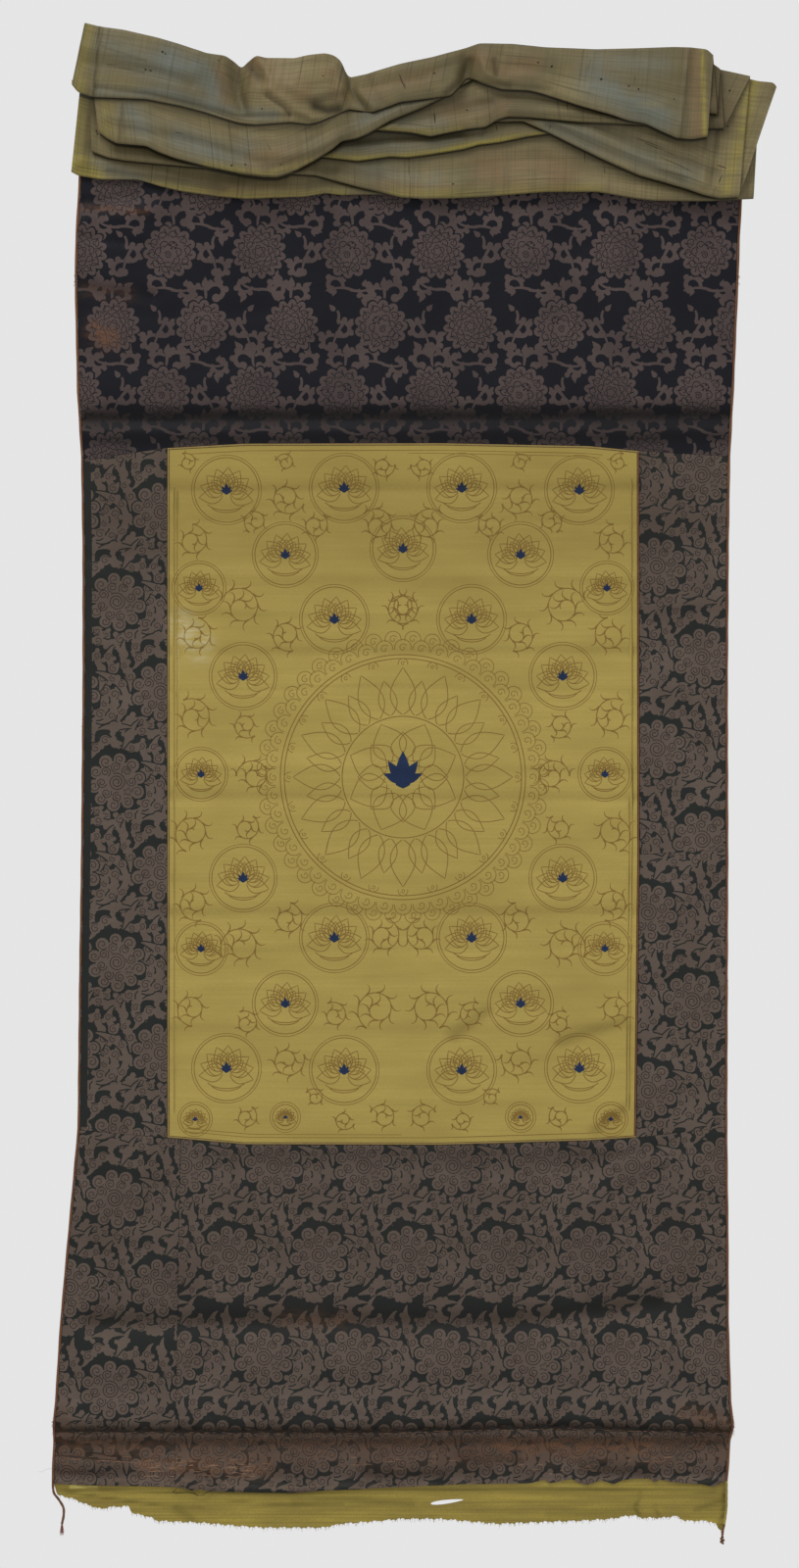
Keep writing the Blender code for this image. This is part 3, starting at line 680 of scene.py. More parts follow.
def many_petalled(kind):
    """A flower about 54 mm across. One kind is even, and the other has a spotted heart to one side."""
    count, first, outer, blunt = ((15, 5, 27.8, 2.0), (13, 14, 27.2, 2.3))[kind]
    shapes = [petals(0, 0, count, 24.2, outer + 1.7, first, blunt, GROUND),
              petals(0, 0, count, 22.6, outer, first, blunt)]
    for i in range(count):
        away = round_about(0, 0, 1, np.radians(first + 360 * (i + 0.5) / count))
        bow = np.array([-away[1], away[0]]) * 2.2
        shapes.append(band([away * 17.6 + bow, away * 19.6 + bow * 0.4, away * 21.6, away * 23.4],
                           [0.6, 0.9, 1.1, 1.4], LINE))
    if kind == 0:
        shapes += ring_of_lobes(11, 17.3, 4.3, 12)
        shapes += ring_of_lobes(8, 10.6, 3.9, 30)
        shapes += ring_of_lobes(5, 4.3, 2.6, 0, width=0.8)
    else:
        shapes += ring_of_lobes(10, 17.0, 4.5, 0)
        shapes += ring_of_lobes(7, 9.6, 4.1, 20, 1.5, -2.0)
        shapes.append(band(spiral(2.0, -3.0, 4.0, 1.6, 30), 0.9, LINE))
        shapes += [disc(-4.5 + 3.4 * np.cos(at), 5.5 + 3.0 * np.sin(at), 1.1, LINE, 7)
                   for at in (0.4, 1.7, 2.9, 4.2, 5.4)]
    return shapes


def leaf(x, z, heading, length, width, tone=FIGURE):
    """A solid leaf, round at the root and pointed at the tip."""
    share = np.linspace(0, 1, 6)
    side = np.sin(np.pi * share ** 0.6) * width / 2
    points = np.vstack([np.stack([side, share * length], 1), np.stack([-side, share * length], 1)[-2:0:-1]])
    return turned_to(points, x, z, heading - 90), tone


def frond(x, z, heading, hand, size=1.0):
    """A scroll with a round end, lobes along its outer side and a pointed leaf."""
    points, widths = tendril(x, z, heading, 32 * size, hand * 250, 3.4 * size, 5.0 * size, 1.25)
    found = [band(points, widths), disc(*points[-1], 4.1 * size)]
    ahead = np.gradient(points, axis=0)
    outer = np.stack([ahead[:, 1], -ahead[:, 0]], 1) * hand / np.hypot(*ahead.T)[:, None]
    for share, lobe in ((0.22, 3.0), (0.42, 3.5), (0.6, 3.2)):
        i = int(share * len(points))
        found.append(disc(*(points[i] + outer[i] * 2.6 * size), lobe * size, FIGURE, 10))
    i = int(0.32 * len(points))
    onwards = np.degrees(np.arctan2(ahead[i, 1], ahead[i, 0]))
    found.append(leaf(*(points[i] + outer[i] * 1.5 * size), onwards - hand * 55, 12 * size, 6.5 * size))
    return found


CROWN = (frond(-2, 0, 125, 1, 1.15) + frond(2, 1, 25, -1, 1.0)  # two scrolls that bow out above a flower
         + [leaf(0, 2, 92, 13, 8)] + scrolls([(0, 3, 262, 15, 24, 4.0, 2.2, 0)]))
SPRAY = (frond(1, 5, 15, -1, 1.08) + frond(-2, -9, 170, 1, 1.05)  # an upright stem with a scroll at each side
         + scrolls([(-4, -19, 70, 26, -20, 2.0, 3.6, 0), (2, 6, 75, 13, 55, 3.6, 2.4, 0)])
         + [leaf(-1, 18, 130, 10, 6), leaf(-4, -17, 215, 10, 5.5)])
LINK = (frond(-8, -1, 95, 1, 1.1) + frond(9, -2, 290, 1, 1.0)  # a long thin stem with scrolls, between two rows
        + scrolls([(-27, -5, 20, 30, -45, 1.8, 3.4, 0), (0, -3, 350, 28, 60, 3.4, 1.8, 0)])
        + [leaf(-16, -3, 245, 9, 5), leaf(14, 1, 70, 9, 5)])


def flower_rows(rows, pitch, low, high):
    """Every flower of some rows: its place, its number in the row and the row's number."""
    for row, (z, x) in enumerate(rows):
        first = int(np.ceil((low - x) / pitch))
        for number in range(first, int((high - x) / pitch) + 1):
            yield x + number * pitch, z, number, row


UPPER_ROWS = [(-93, -290), (-157, -237), (-233, -295), (-301, -243), (-368, -297)]  # z, and x of one flower
UPPER_PITCH = 91.2  # from flower to flower
upper_shapes = []
for x, z, number, row in flower_rows(UPPER_ROWS, UPPER_PITCH, -380, 380):
    kind = (number + row) % 2
    lean = 6 * np.sin(3.1 * number + 1.7 * row)
    upper_shapes += moved(CROWN, x + 3 * kind, z + 37, lean, kind == 1, 0.92)
    upper_shapes += moved(SPRAY, x + UPPER_PITCH / 2, z - 1, -lean, kind == 1, 0.92)
    upper_shapes += moved(LINK, x + 2, z - 36, lean - 8, kind == 0, 0.92)
    upper_shapes += moved(many_petalled(kind), x, z, lean, row % 2 == 1)

# Dyed silk damask. The eye sees near-black ground with a faint shine, dull brown-grey figures and black outlines.
UPPER_GROUND = woven("black silk ground", "#0f1017", "#0b0b10", patchy=0.6, soiled_and_shaded="#080709", worn="#3a3336",
                     roughness=0.55, bump=0.08)
UPPER_FIGURE = woven("brown-grey silk figure", "#493e3b", "#382f2e", patchy=0.8, soiled_and_shaded="#120e0d",
                     worn="#6e5f5a", roughness=0.65, bump=0.12)
UPPER_LINE = woven("black silk outline", "#191518", "#100e12", soiled_and_shaded="#0c0b0d", worn="#3a3336", roughness=0.55)
upper_sides = rim_of(cloth_left, cloth_right, steady(0.0), level(SEAM_ABOVE, HALF_GAP))
upper = cloth("upper_damask", np.vstack(upper_sides), (UPPER_GROUND, UPPER_FIGURE, UPPER_LINE), upper_shapes)
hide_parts("upper_brocade")
TURNED_IN = 9.0  # how much cloth is turned in behind a seam
TURNED_SHEET = 0.3
PAST_EDGE = 0.45  # how far the turned-in cloth reaches past the edge of its panel, towards the piping
BEHIND_EDGE, BEHIND_SEAM, BEHIND_PICTURE = 0.95, 1.3, 1.65  # how far behind the panels it lies


def turned_in(name, outline, behind, surface):
    """The turned-in edges that lie behind a seam and close its gap, as one thin strip."""
    made = cloth(name, outline, (surface,), thickness=TURNED_SHEET, behind=behind, step=(9.0, 3.0))
    return made


def along_edge(edge, start, end, low, high):
    """The outline of an upright strip between two distances inwards from an edge."""
    return np.vstack(rim_of(lambda z: edge(z) + start, lambda z: edge(z) + end,
                            steady(high), steady(low), 4.0))


def along_seam(seam, left, right):
    """The outline of a level strip that lies evenly behind a seam."""
    return np.vstack(rim_of(steady(left), steady(right), level(seam, TURNED_IN / 2), level(seam, -TURNED_IN / 2),
                            4.0))


upper_turned = [turned_in("upper_turned_" + where, outline, behind, UPPER_GROUND)
                for where, outline, behind in (
                    ("left", along_edge(cloth_left, -PAST_EDGE, TURNED_IN, -372.6, -1), BEHIND_EDGE),
                    ("right", along_edge(cloth_right, -TURNED_IN, PAST_EDGE, -367.6, -1), BEHIND_EDGE),
                    ("seam", along_seam(SEAM_ABOVE, -323, 331), BEHIND_SEAM))]

# ---- side strips ----
# Grey-brown damask with a denser pattern of whorled flowers among clouds. The left strip is one length, with a
# dark selvedge down its outer edge, and the right one is pieced from two.
SEAM_RIGHT_STRIP = [(242, -772), (333, -767)]
HALO = 1.4  # width of the ground that shows between one figure and the next


def whorled():
    """A flower about 60 mm across, made of winding petals round a large whorl."""
    places = []
    for i in range(10):
        at = np.radians(18 + 36 * i)
        places.append((*round_about(0, 0, 23.4, at), 5.0 + 0.7 * (i % 2), np.degrees(at)))
    shapes = [disc(x, z, radius + 1.2 + HALO, GROUND, 10) for x, z, radius, _ in places]
    shapes += [disc(x, z, radius + 1.2, FIGURE, 11) for x, z, radius, _ in places]
    shapes.append(disc(0, 0, 21.5, FIGURE, 20))
    shapes.append(band(spiral(0, 0, 9.4, 2.5, 120, -1, 2.3), 1.0, LINE))
    for i in range(8):
        at = 10 + 45 * i
        cx, cz = round_about(0, 0, 15.4, np.radians(at))
        if i == 7:  # a cluster of seeds in place of one petal
            shapes += [band(spiral(*round_about(cx, cz, 3.3, a), 1.9, 0.9, 0, 1, 1.7), 0.8, LINE)
                       for a in (0.3, 1.5, 2.8, 4.0, 5.2)]
        else:
            shapes.append(band(spiral(cx, cz, 5.5, 1.7, at + 160, -1 if i % 3 else 1, 1.9), 0.95, LINE))
    for x, z, radius, at in places:
        shapes.append(band(spiral(x, z, radius, 1.3, at + 200, -1, 1.9), 0.9, LINE))
    return shapes


def nearest_repeat(places, repeats):
    """Each place moved by whole repeats of the pattern to where it lies nearest the origin."""
    moved_on = places[:, None, :] + repeats
    return moved_on[np.arange(len(places)), np.linalg.norm(moved_on, axis=2).argmin(1)]


def cloud_chains(pitch, drop):
    """One repeat of the clouds round a flower. Round heads are spread evenly over the ground between the flowers,
    then joined into winding chains of up to four, each with flame-like tails and a rim of ground round it."""
    draw = np.random.default_rng(8)
    repeats = np.array([(i * pitch + j * pitch / 2, -j * drop) for i in range(-3, 4) for j in range(-2, 3)])
    heads = np.empty((0, 2))
    for spot in draw.uniform(-60, 60, (5000, 2)):
        spot = nearest_repeat(spot[None], repeats)[0]
        if np.hypot(*spot) > 34.6 and (not len(heads)
                                       or np.linalg.norm(nearest_repeat(heads - spot, repeats), axis=1).min() > 9.9):
            heads = np.vstack([heads, spot])
    free, shapes = list(range(len(heads))), []
    while free:
        first = min(free, key=lambda i: heads[i] @ (0.5, 1.0))
        free.remove(first)
        chain, onwards = [heads[first]], np.array([0.8, 0.5])
        while free and len(chain) < 4:
            steps = nearest_repeat(heads[free] - chain[-1], repeats)
            far = np.linalg.norm(steps, axis=1)
            worth = far - 5 * (steps @ onwards) / far
            best = int(worth.argmin())
            if far[best] > 15.5:
                break
            free.pop(best)
            onwards = steps[best] / far[best]
            chain.append(chain[-1] + steps[best])
        sizes = [draw.uniform(4.4, 6.0) for _ in chain]
        ends = []
        for end, before in ((chain[-1], chain[-2] if len(chain) > 1 else chain[0] - [3, 2]),
                            (chain[0], chain[1] if len(chain) > 1 else chain[0] + [3, 2])):
            heading = np.degrees(np.arctan2(*(end - before)[::-1])) + draw.uniform(-45, 45)
            ends.append((*end, heading, draw.uniform(12, 19), draw.uniform(-80, 80), 8.0, 1.0, 0))
        links = [np.array([a, (a + b) / 2 + draw.uniform(-1.2, 1.2, 2), b]) for a, b in zip(chain, chain[1:])]
        puffs = []
        for spot, radius in zip(chain, sizes):
            for at in draw.uniform(0, 2 * np.pi) + np.array([0, 2.4]):
                puffs.append(disc(*round_about(*spot, radius + 0.8, at), draw.uniform(2.4, 3.3), FIGURE, 6))
        for grow, tone in ((HALO, GROUND), (0.0, FIGURE)):
            shapes += scrolls(ends, tone, grow, 3.2)
            shapes += [band(link, 6.4 + 2 * grow, tone) for link in links]
            shapes += [disc(*spot, radius + grow, tone, 9) for spot, radius in zip(chain, sizes)]
        shapes += puffs
        for k, (spot, radius) in enumerate(zip(chain, sizes)):
            if (k + len(chain)) % 4 != 1:
                shapes.append(band(spiral(*spot, radius - 0.9, 1.3, draw.uniform(0, 360), 1, 1.9), 0.9, LINE))
    return shapes


STRIP_PITCH, STRIP_DROP = 91.4, 93.0  # from flower to flower, and from row to row
PAST_PANEL = 50  # how far to each side of a panel the flowers are laid out


def whorled_field(rows, outline):
    """A panel's pattern: rows of whorled flowers with clouds between them."""
    found, flower, clouds = [], whorled(), cloud_chains(STRIP_PITCH, STRIP_DROP)
    low, high = outline[:, 0].min() - PAST_PANEL, outline[:, 0].max() + PAST_PANEL
    places = list(flower_rows(rows, STRIP_PITCH, low, high))
    for x, z, _, _ in places:
        found += moved(clouds, x, z)
    for x, z, number, row in places:
        found += moved(flower, x, z, 8 * np.sin(2.3 * number + 1.1 * row))
    return found


SELVEDGE = 7.0  # width of the plain dark band down the left strip's outer edge
PAST_PICTURE = 4  # how far the turned-in cloth reaches behind the picture
# Dyed silk damask with less black left in it. The eye sees green-black ground, worn brown-grey flowers and clouds,
# and dark brown outlines.
SIDE_GROUND = woven("green-black silk ground", "#202321", "#181917", soiled_and_shaded="#110e0a", worn="#57504a",
                    roughness=0.55)
SIDE_FIGURE = woven("grey-brown silk figure", "#584d45", "#493e36", patchy=0.7, soiled_and_shaded="#261c13",
                    worn="#7d6853", roughness=0.65)
SIDE_LINE = woven("dark brown silk outline", "#2f2722", "#262020", soiled_and_shaded="#12100d", worn="#57504a",
                  roughness=0.6)
SIDE_SILK = (SIDE_GROUND, SIDE_FIGURE, SIDE_LINE)
# Name, CAD node, left, right, top and bottom; the rows of flowers, as z and the x of one; the heights between which
# the cloth is turned in at the outer and at the inner edge; flat width and flat length.
STRIPS = [
    ("left_damask", "left_brocade", cloth_left, upright(PICTURE_LEFT, -HALF_GAP), level(SEAM_ABOVE, -HALF_GAP),
     level(SEAM_BELOW, HALF_GAP), [(-330 - 92 * i, (-291, -246)[i % 2]) for i in range(9)],
     (-1052.6, -371.6), (-1060.6, -359.6), 0.086, 0.694),
    ("right_damask_upper", "right_brocade_upper", upright(PICTURE_RIGHT, HALF_GAP), cloth_right,
     level(SEAM_ABOVE, -HALF_GAP), level(SEAM_RIGHT_STRIP, HALF_GAP),
     [(-385 - 93 * i, (306, 260)[i % 2]) for i in range(6)], (-768.6, -366.6), (-768.6, -360.5), 0.089, 0.406),
    ("right_damask_lower", "right_brocade_lower", upright(PICTURE_RIGHT, HALF_GAP), cloth_right,
     level(SEAM_RIGHT_STRIP, -HALF_GAP), level(SEAM_BELOW, HALF_GAP),
     [(-740 - 91 * i, (296, 251)[i % 2]) for i in range(5)], (-1050.0, -767.8), (-1059.0, -768.2), 0.088, 0.285),
]
for name, cad, left, right, top, bottom, rows, outer_span, inner_span, wide, long in STRIPS:
    sides = rim_of(left, right, top, bottom)
    outline = np.vstack(sides)
    shapes = whorled_field(rows, outline)
    if cad == "left_brocade":
        shapes.append((np.vstack([sides[3] - [9, 0], (sides[3] + [SELVEDGE, 0])[::-1]]), GROUND))
    made = cloth(name, outline, SIDE_SILK, shapes)
    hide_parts(cad)
    if cad == "left_brocade":
        outer = along_edge(left, -PAST_EDGE, TURNED_IN, *outer_span)
        inner = along_edge(right, -TURNED_IN / 2, PAST_PICTURE, *inner_span)
    else:
        outer = along_edge(right, -TURNED_IN, PAST_EDGE, *outer_span)
        inner = along_edge(left, -PAST_PICTURE, TURNED_IN / 2, *inner_span)
    strips = [("outer", outer, BEHIND_EDGE), ("inner", inner, BEHIND_PICTURE)]
    if cad == "right_brocade_upper":
        strips.append(("seam", along_seam(SEAM_RIGHT_STRIP, 246, 329), BEHIND_SEAM))
    turned = [turned_in(name + "_turned_" + where, strip, behind, SIDE_GROUND)
              for where, strip, behind in strips]

# ---- lower panel ----
# The same grey-brown damask, pieced from a narrow left part and a broad one. A stitched tuck above the hem makes
# a casing, in which a rod once lay, and the cloth hangs out above it in soft swells.
SEAM_LOWER_PANEL = [(-226, -1063), (-232, -1416)]
HEM = [(-357.5, -1414), (-310, -1416), (-270, -1416.4), (-229, -1417.5), (-214, -1421), (-205, -1419.5),
       (-196, -1422), (-160, -1422.6), (-110, -1423.5), (-80, -1421), (-49, -1420), (-20, -1418), (8, -1417),
       (60, -1414.5), (97, -1414), (130, -1413.6), (146, -1409.5), (150, -1413.6), (174, -1409), (178, -1412),
       (188, -1415.3), (196, -1413), (203, -1410.3), (216, -1414.4), (224.5, -1410.3), (238, -1408.6), (254, -1408.8),
       (257, -1412.8), (263, -1409.5), (279, -1412.8), (306, -1414.4), (317, -1416.9), (326, -1413), (332, -1410)]
TUCK = [(-356, -1361), (-41, -1362), (150, -1357), (337, -1362)]
PALE_THREAD_AND_HIGHLIGHT = 3  # the tone of pulled and rubbed threads, and of the painted highlight along the tuck
WORN_CASING = [  # pulled threads, between these x and z
    (46, -268, -134, -1408, -1388), (9, 224, 276, -1392, -1386), (12, -60, 60, -1400, -1386),
    (7, -352, -280, -1391, -1386), (10, 90, 200, -1404, -1388),
]
SHORT_TUCK = np.array([(-354, -1385.4), (-340, -1385.9), (-315, -1388.6), (-296, -1390.2), (-277, -1391)])
LOOSE_THREAD = [(-190, -1419), (-197, -1422), (-203, -1425.5), (-208, -1426), (-213, -1423.5), (-220, -1422.5),
                (-228, -1423.6), (-233.5, -1422.6), (-230, -1419), (-226, -1416.6), (-220, -1417.5),
                (-215, -1419.6), (-211, -1419)]


def tuck_shade_highlight_and_threads():
    """The tuck's crease as a dark band of painted shade, pale bits along it that are pulled threads and a painted
    highlight, and rubbed streaks on the casing.
    """
    draw = np.random.default_rng(6)
    steps = np.arange(-356, 338, 6.0)
    # the tuck's crease, painted dark in the outline tone as shade
    crease = np.stack([steps, height_on(TUCK, steps) + 0.8 * np.sin(steps / 7)], 1)
    found = [band(crease, 2.6 + 0.9 * np.sin(steps / 11), LINE)]
    # the short crease at the left: a dark band of painted shade, and below it a pale line of painted highlight
    found += [band(SHORT_TUCK, [1.0, 1.9, 2.2, 1.4, 0.5], LINE),
              band(SHORT_TUCK[2:] + (8, -1.2), [0.3, 0.9, 0.3], PALE_THREAD_AND_HIGHLIGHT)]
    # pale bits just below the tuck: pulled threads, and a painted highlight along its edge
    for x in np.arange(-338, 330, 8.0):
        long = draw.uniform(3.0, 9.0)
        z = height_on(TUCK, x) - draw.uniform(0.2, 1.6)
        found.append(band([(x, z), (x + long / 2, z + 0.2), (x + long, z - 0.1)], [0.3, 0.9, 0.3], PALE_THREAD_AND_HIGHLIGHT))
    for count, x0, x1, z0, z1 in WORN_CASING:
        for _ in range(count):
            x, z, long = draw.uniform(x0, x1), draw.uniform(z0, z1), draw.uniform(3, 12)
            found.append(band([(x, z), (x + long / 2, z + draw.uniform(-0.4, 0.4)), (x + long, z)], [0.3, 0.8, 0.3],
                              PALE_THREAD_AND_HIGHLIGHT))
    return found


def strand_mesh(name, lines, radius, surface):
    """Fine threads, each a thin tapering tube along its line."""
    verts, faces = [], []
    for number, line in enumerate(lines):
        first = len(verts)
        for k, centre in enumerate(np.array(line, float)):
            for corner in range(3):
                at = corner * 2.1 + number
                wide = radius * (1 - 0.6 * k / (len(line) - 1))
                verts.append(centre + wide * np.array([np.cos(at), np.sin(at), 0.5 * np.cos(at + 1)]))
        faces += [[first + 3 * k + c, first + 3 * k + (c + 1) % 3, first + 3 * k + 3 + (c + 1) % 3,
                   first + 3 * k + 3 + c] for k in range(len(line) - 1) for c in range(3)]
    return piece(name, verts, faces, surface)


LOWER_LEFT_ROWS = [(-1030, -247), (-1123, -293), (-1214, -247), (-1318, -298), (-1404, -250)]
LOWER_ROWS = [(-1003, -176), (-1090, -131), (-1180, -176), (-1285, -141), (-1378, -186)]
# Bare silk threads. The eye sees pale brown flecks where the casing is worn, a pale line of pulled threads and painted
# highlight along the tuck, and one dark thread that hangs out.
PULLED_SILK_AND_HIGHLIGHT = woven("pulled silk threads and painted highlight", "#8a705a", "#6d4f3b", patchy=0.8, soiled_and_shaded="#2c2018", worn="#a08a76")
DARK_THREAD = woven("dark loose thread", "#1f1a15", "#14110e")
for name, cad, left, right, rows, wide, long, area in (
        ("lower_damask_left", "lower_brocade_left", cloth_left, upright(SEAM_LOWER_PANEL, -HALF_GAP),
         LOWER_LEFT_ROWS, 0.127, 0.362, 0.0400),
        ("lower_damask", "lower_brocade", upright(SEAM_LOWER_PANEL, HALF_GAP), cloth_right,
         LOWER_ROWS, 0.563, 0.372, 0.199)):
    outline = np.vstack(rim_of(left, right, level(SEAM_BELOW, -HALF_GAP), level(HEM, 0)))
    shapes = whorled_field(rows, outline)
    made = cloth(name, outline, (*SIDE_SILK, PULLED_SILK_AND_HIGHLIGHT), shapes + tuck_shade_highlight_and_threads(), step=(7.0, 2.4))
    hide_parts(cad)
    if cad == "lower_brocade":
        strips = [("right", along_edge(right, -TURNED_IN, PAST_EDGE, -1409, -1049), BEHIND_EDGE),
                  ("seam", along_seam(SEAM_BELOW, -327, 328), BEHIND_SEAM),
                  ("panel", along_edge(left, -TURNED_IN / 2, TURNED_IN / 2, -1412, -1064), BEHIND_EDGE)]
    else:
        strips = [("left", along_edge(left, -PAST_EDGE, TURNED_IN, -1412, -1051.6), BEHIND_EDGE)]
    turned = [turned_in("lower_turned_" + where, strip, behind, SIDE_GROUND)
              for where, strip, behind in strips]
    if cad == "lower_brocade":
        thread = [(x, float(relief(x, z)) - 1.6, z) for x, z in LOOSE_THREAD]
        turned.append(strand_mesh("loose_thread", [thread], 0.75, DARK_THREAD))

# ---- picture ----
# Fine silk, sized and painted gold, with a lotus design in thin brown lines and small indigo flower hearts. It is
# a plain decorative design for this part, laid out on its own plan.
INDIGO, BROWN = 1, 2  # tones on the gold ground, which is 0
STROKE = 0.95  # width of the brown lines


def stroke(points, width=STROKE):
    """A brown line of the painted design."""
    return band(points, width, BROWN)


def petal_line(x, z, heading, length, width, open_root=True):
    """A pointed petal's outline, from its root round its tip and back."""
    share = np.linspace(0, 1, max(6, int(length / 2.2)))
    side = np.sin(np.pi * share ** 0.8) * width / 2 + (STROKE * 0.7 * (1 - share) if open_root else 0)
    half = np.stack([side, share * length], 1)
    points = np.vstack([half, (half * [-1, 1])[::-1][1:]])
    return turned_to(points, x, z, heading - 90)


def ring(x, z, radius, width=STROKE):
    """A closed circle, but for a hair's breadth."""
    gap = np.degrees(0.12 / radius)
    return stroke(arc(x, z, radius, 90 + gap, 450 - gap), width)


def bud(x, z, size):
    """An indigo lotus heart: five pointed petals that fan up from one root, over a small cup."""
    shapes = []
    for heading, length, width in ((25, 0.42, 0.17), (155, 0.42, 0.17), (55, 0.52, 0.2), (125, 0.52, 0.2),
                                   (90, 0.62, 0.26)):
        shapes.append((petal_line(x, z - 0.22 * size, heading, length * size, width * size, False)[:-1], INDIGO))
    shapes.append((petal_line(x, z - 0.18 * size, 270, 0.16 * size, 0.3 * size, False)[:-1], INDIGO))
    return shapes


def blossom(x, z, size, turn=0.0):
    """An open lotus in lines, within a ring, with an indigo heart."""
    shapes = [ring(x, z, size), ring(x, z, size + 2.6, 0.7)]
    for fan, count, length, width in ((200, 9, 0.86, 0.44), (150, 7, 0.62, 0.36)):
        for i in range(count):
            heading = turn + 90 + (i - (count - 1) / 2) * fan / (count - 1)
            root = 0.12 * size
            cx, cz = round_about(x, z - 0.15 * size, root, np.radians(heading))
            shapes.append(stroke(petal_line(cx, cz, heading, length * size * 0.85, width * size)))
    shapes += bud(x, z + 0.02 * size, size * 0.5)
    shapes += [stroke(arc(x, z - 0.35 * size, 0.62 * size, 200, 340, 0.45)),
               stroke(arc(x, z - 0.45 * size, 0.5 * size, 205, 335, 0.5))]
    return shapes


def leafy(x, z, heading, size, hand):
    """A winding vine with curved leaves that grow out of its outer side."""
    line = spiral(x, z, size, 1.5, heading, hand, 2.6)
    shapes = [stroke(line, 1.1)]
    ahead = np.gradient(line, axis=0)
    for i in range(0, len(line) - 3, 3):
        onwards = np.degrees(np.arctan2(ahead[i, 1], ahead[i, 0]))
        points, widths = tendril(*line[i], onwards - hand * 12, size * 0.62, -hand * 125, 2.0, 0.5, step=1.8)
        shapes.append(band(points, widths, BROWN))
    return shapes


MEDALLION = (1, -693)
picture_shapes = [ring(*MEDALLION, radius, 1.1) for radius in (125, 121, 62)]
for count, inner, outer, turn, width in ((16, 64, 112, 0, 25), (16, 64, 100, 11.25, 18), (8, 18, 58, 22.5, 34),
                                         (8, 18, 46, 0, 24)):
    for i in range(count):
        at = turn + 360 * i / count
        root = round_about(*MEDALLION, inner, np.radians(at))
        picture_shapes.append(stroke(petal_line(*root, at, outer - inner, width)))
picture_shapes += bud(MEDALLION[0], MEDALLION[1] + 6, 52)
for count, radius, size in ((44, 132, 8.6), (44, 141, 8.2), (24, 116, 5.0)):  # cloud scallops round the medallion
    for i in range(count):
        at = 360 * (i + radius % 2 / 2) / count
        spot = round_about(*MEDALLION, radius, np.radians(at))
        picture_shapes.append(stroke(arc(*spot, size, at - 105, at + 105, step=2.2), 0.8))
        picture_shapes.append(stroke(spiral(*spot, size * 0.55, 1.1, at - 60, 1, 1.8), 0.8))

BLOSSOMS = [  # x from the middle, z, size; each stands at both sides, but the last one in the middle
    (60, -398, 33), (180, -400, 33), (120, -466, 31), (208, -500, 25), (70, -532, 33), (163, -590, 32),
    (206, -690, 25), (163, -796, 32), (70, -857, 33), (206, -868, 25), (120, -924, 31), (60, -992, 33),
    (180, -990, 33), (212, -1042, 15), (120, -1040, 13), (0.001, -460, 31),
]
for across, z, size in BLOSSOMS:
    for side in ((-1, 1) if across > 1 else (1,)):
        picture_shapes += blossom(MEDALLION[0] + side * across, z, size, side * 4)
TENDRILS = [  # x from the middle, z, heading, size; mirrored at the other side
    (0.5, -520, 250, 17), (26, -436, 40, 18), (118, -408, 200, 18), (150, -432, 300, 13), (90, -436, 130, 14),
    (215, -452, 90, 17), (165, -520, 20, 22), (118, -548, 250, 17), (212, -548, 100, 18), (214, -632, 60, 20),
    (160, -640, 230, 14), (152, -692, 0, 18), (160, -745, 120, 14), (214, -750, 290, 20), (212, -822, 250, 18),
    (118, -838, 100, 17), (165, -866, 330, 22), (20, -855, 100, 18), (26, -930, 300, 22), (70, -936, 60, 14),
    (215, -930, 270, 17), (160, -944, 60, 13), (118, -982, 160, 18), (20, -1040, 20, 14), (60, -1043, 200, 11),
    (90, -1020, 30, 10), (160, -1040, 120, 12), (220, -372, 60, 10), (120, -372, 10, 10), (20, -376, 170, 12),
]
for across, z, heading, size in TENDRILS:
    for side in (-1, 1):
        picture_shapes += leafy(MEDALLION[0] + side * across, z, heading if side > 0 else 180 - heading, size, side)
picture_sides = rim_of(upright(PICTURE_LEFT, PICTURE_IN), upright(PICTURE_RIGHT, -PICTURE_IN),
                       level(SEAM_ABOVE, -PICTURE_IN), level(SEAM_BELOW, PICTURE_IN))
picture_outline = np.vstack(picture_sides)
picture_middle = picture_outline.mean(0)
BORDER_RUNS = ((3, 150), (165, 385), (400, 545), (560, -4))  # the outline's points along each side, short of corners
for inwards in (5, 8):
    shrunk = picture_outline - np.sign(picture_outline - picture_middle) * inwards
    picture_shapes += [stroke(shrunk[first:last:2], 0.7) for first, last in BORDER_RUNS]

# Sized silk with matt colours brushed on. The eye sees a dull gold ground, clouded and thin at the creases and darkened
# along them as painted shade, with fine brown lines and small dark blue flower hearts.
PAINTED_GOLD = woven("gold painted silk", "#9d8b49", "#87763b", across=(9, 9, 26), streak=(9, 9, 420),
                     streaky=0.4, patchy=0.7, fine=1100, roughness=0.55, sheen=0.05, bump=0.18,
                     soiled_and_shaded="#5f4f22", worn="#b0a88c")
PAINTED_INDIGO = woven("indigo paint", "#1d2c48", "#141e33", roughness=0.75, sheen=0.0, soiled_and_shaded="#11161f",
                       worn="#4a5468")
PAINTED_LINE = woven("brown ink line", "#765d2b", "#664f24", roughness=0.7, sheen=0.0, soiled_and_shaded="#54431c",
                     worn="#94885c")
picture = cloth("picture_silk", picture_outline, (PAINTED_GOLD, PAINTED_INDIGO, PAINTED_LINE), picture_shapes,
                step=(7.0, 2.8))
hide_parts("picture")

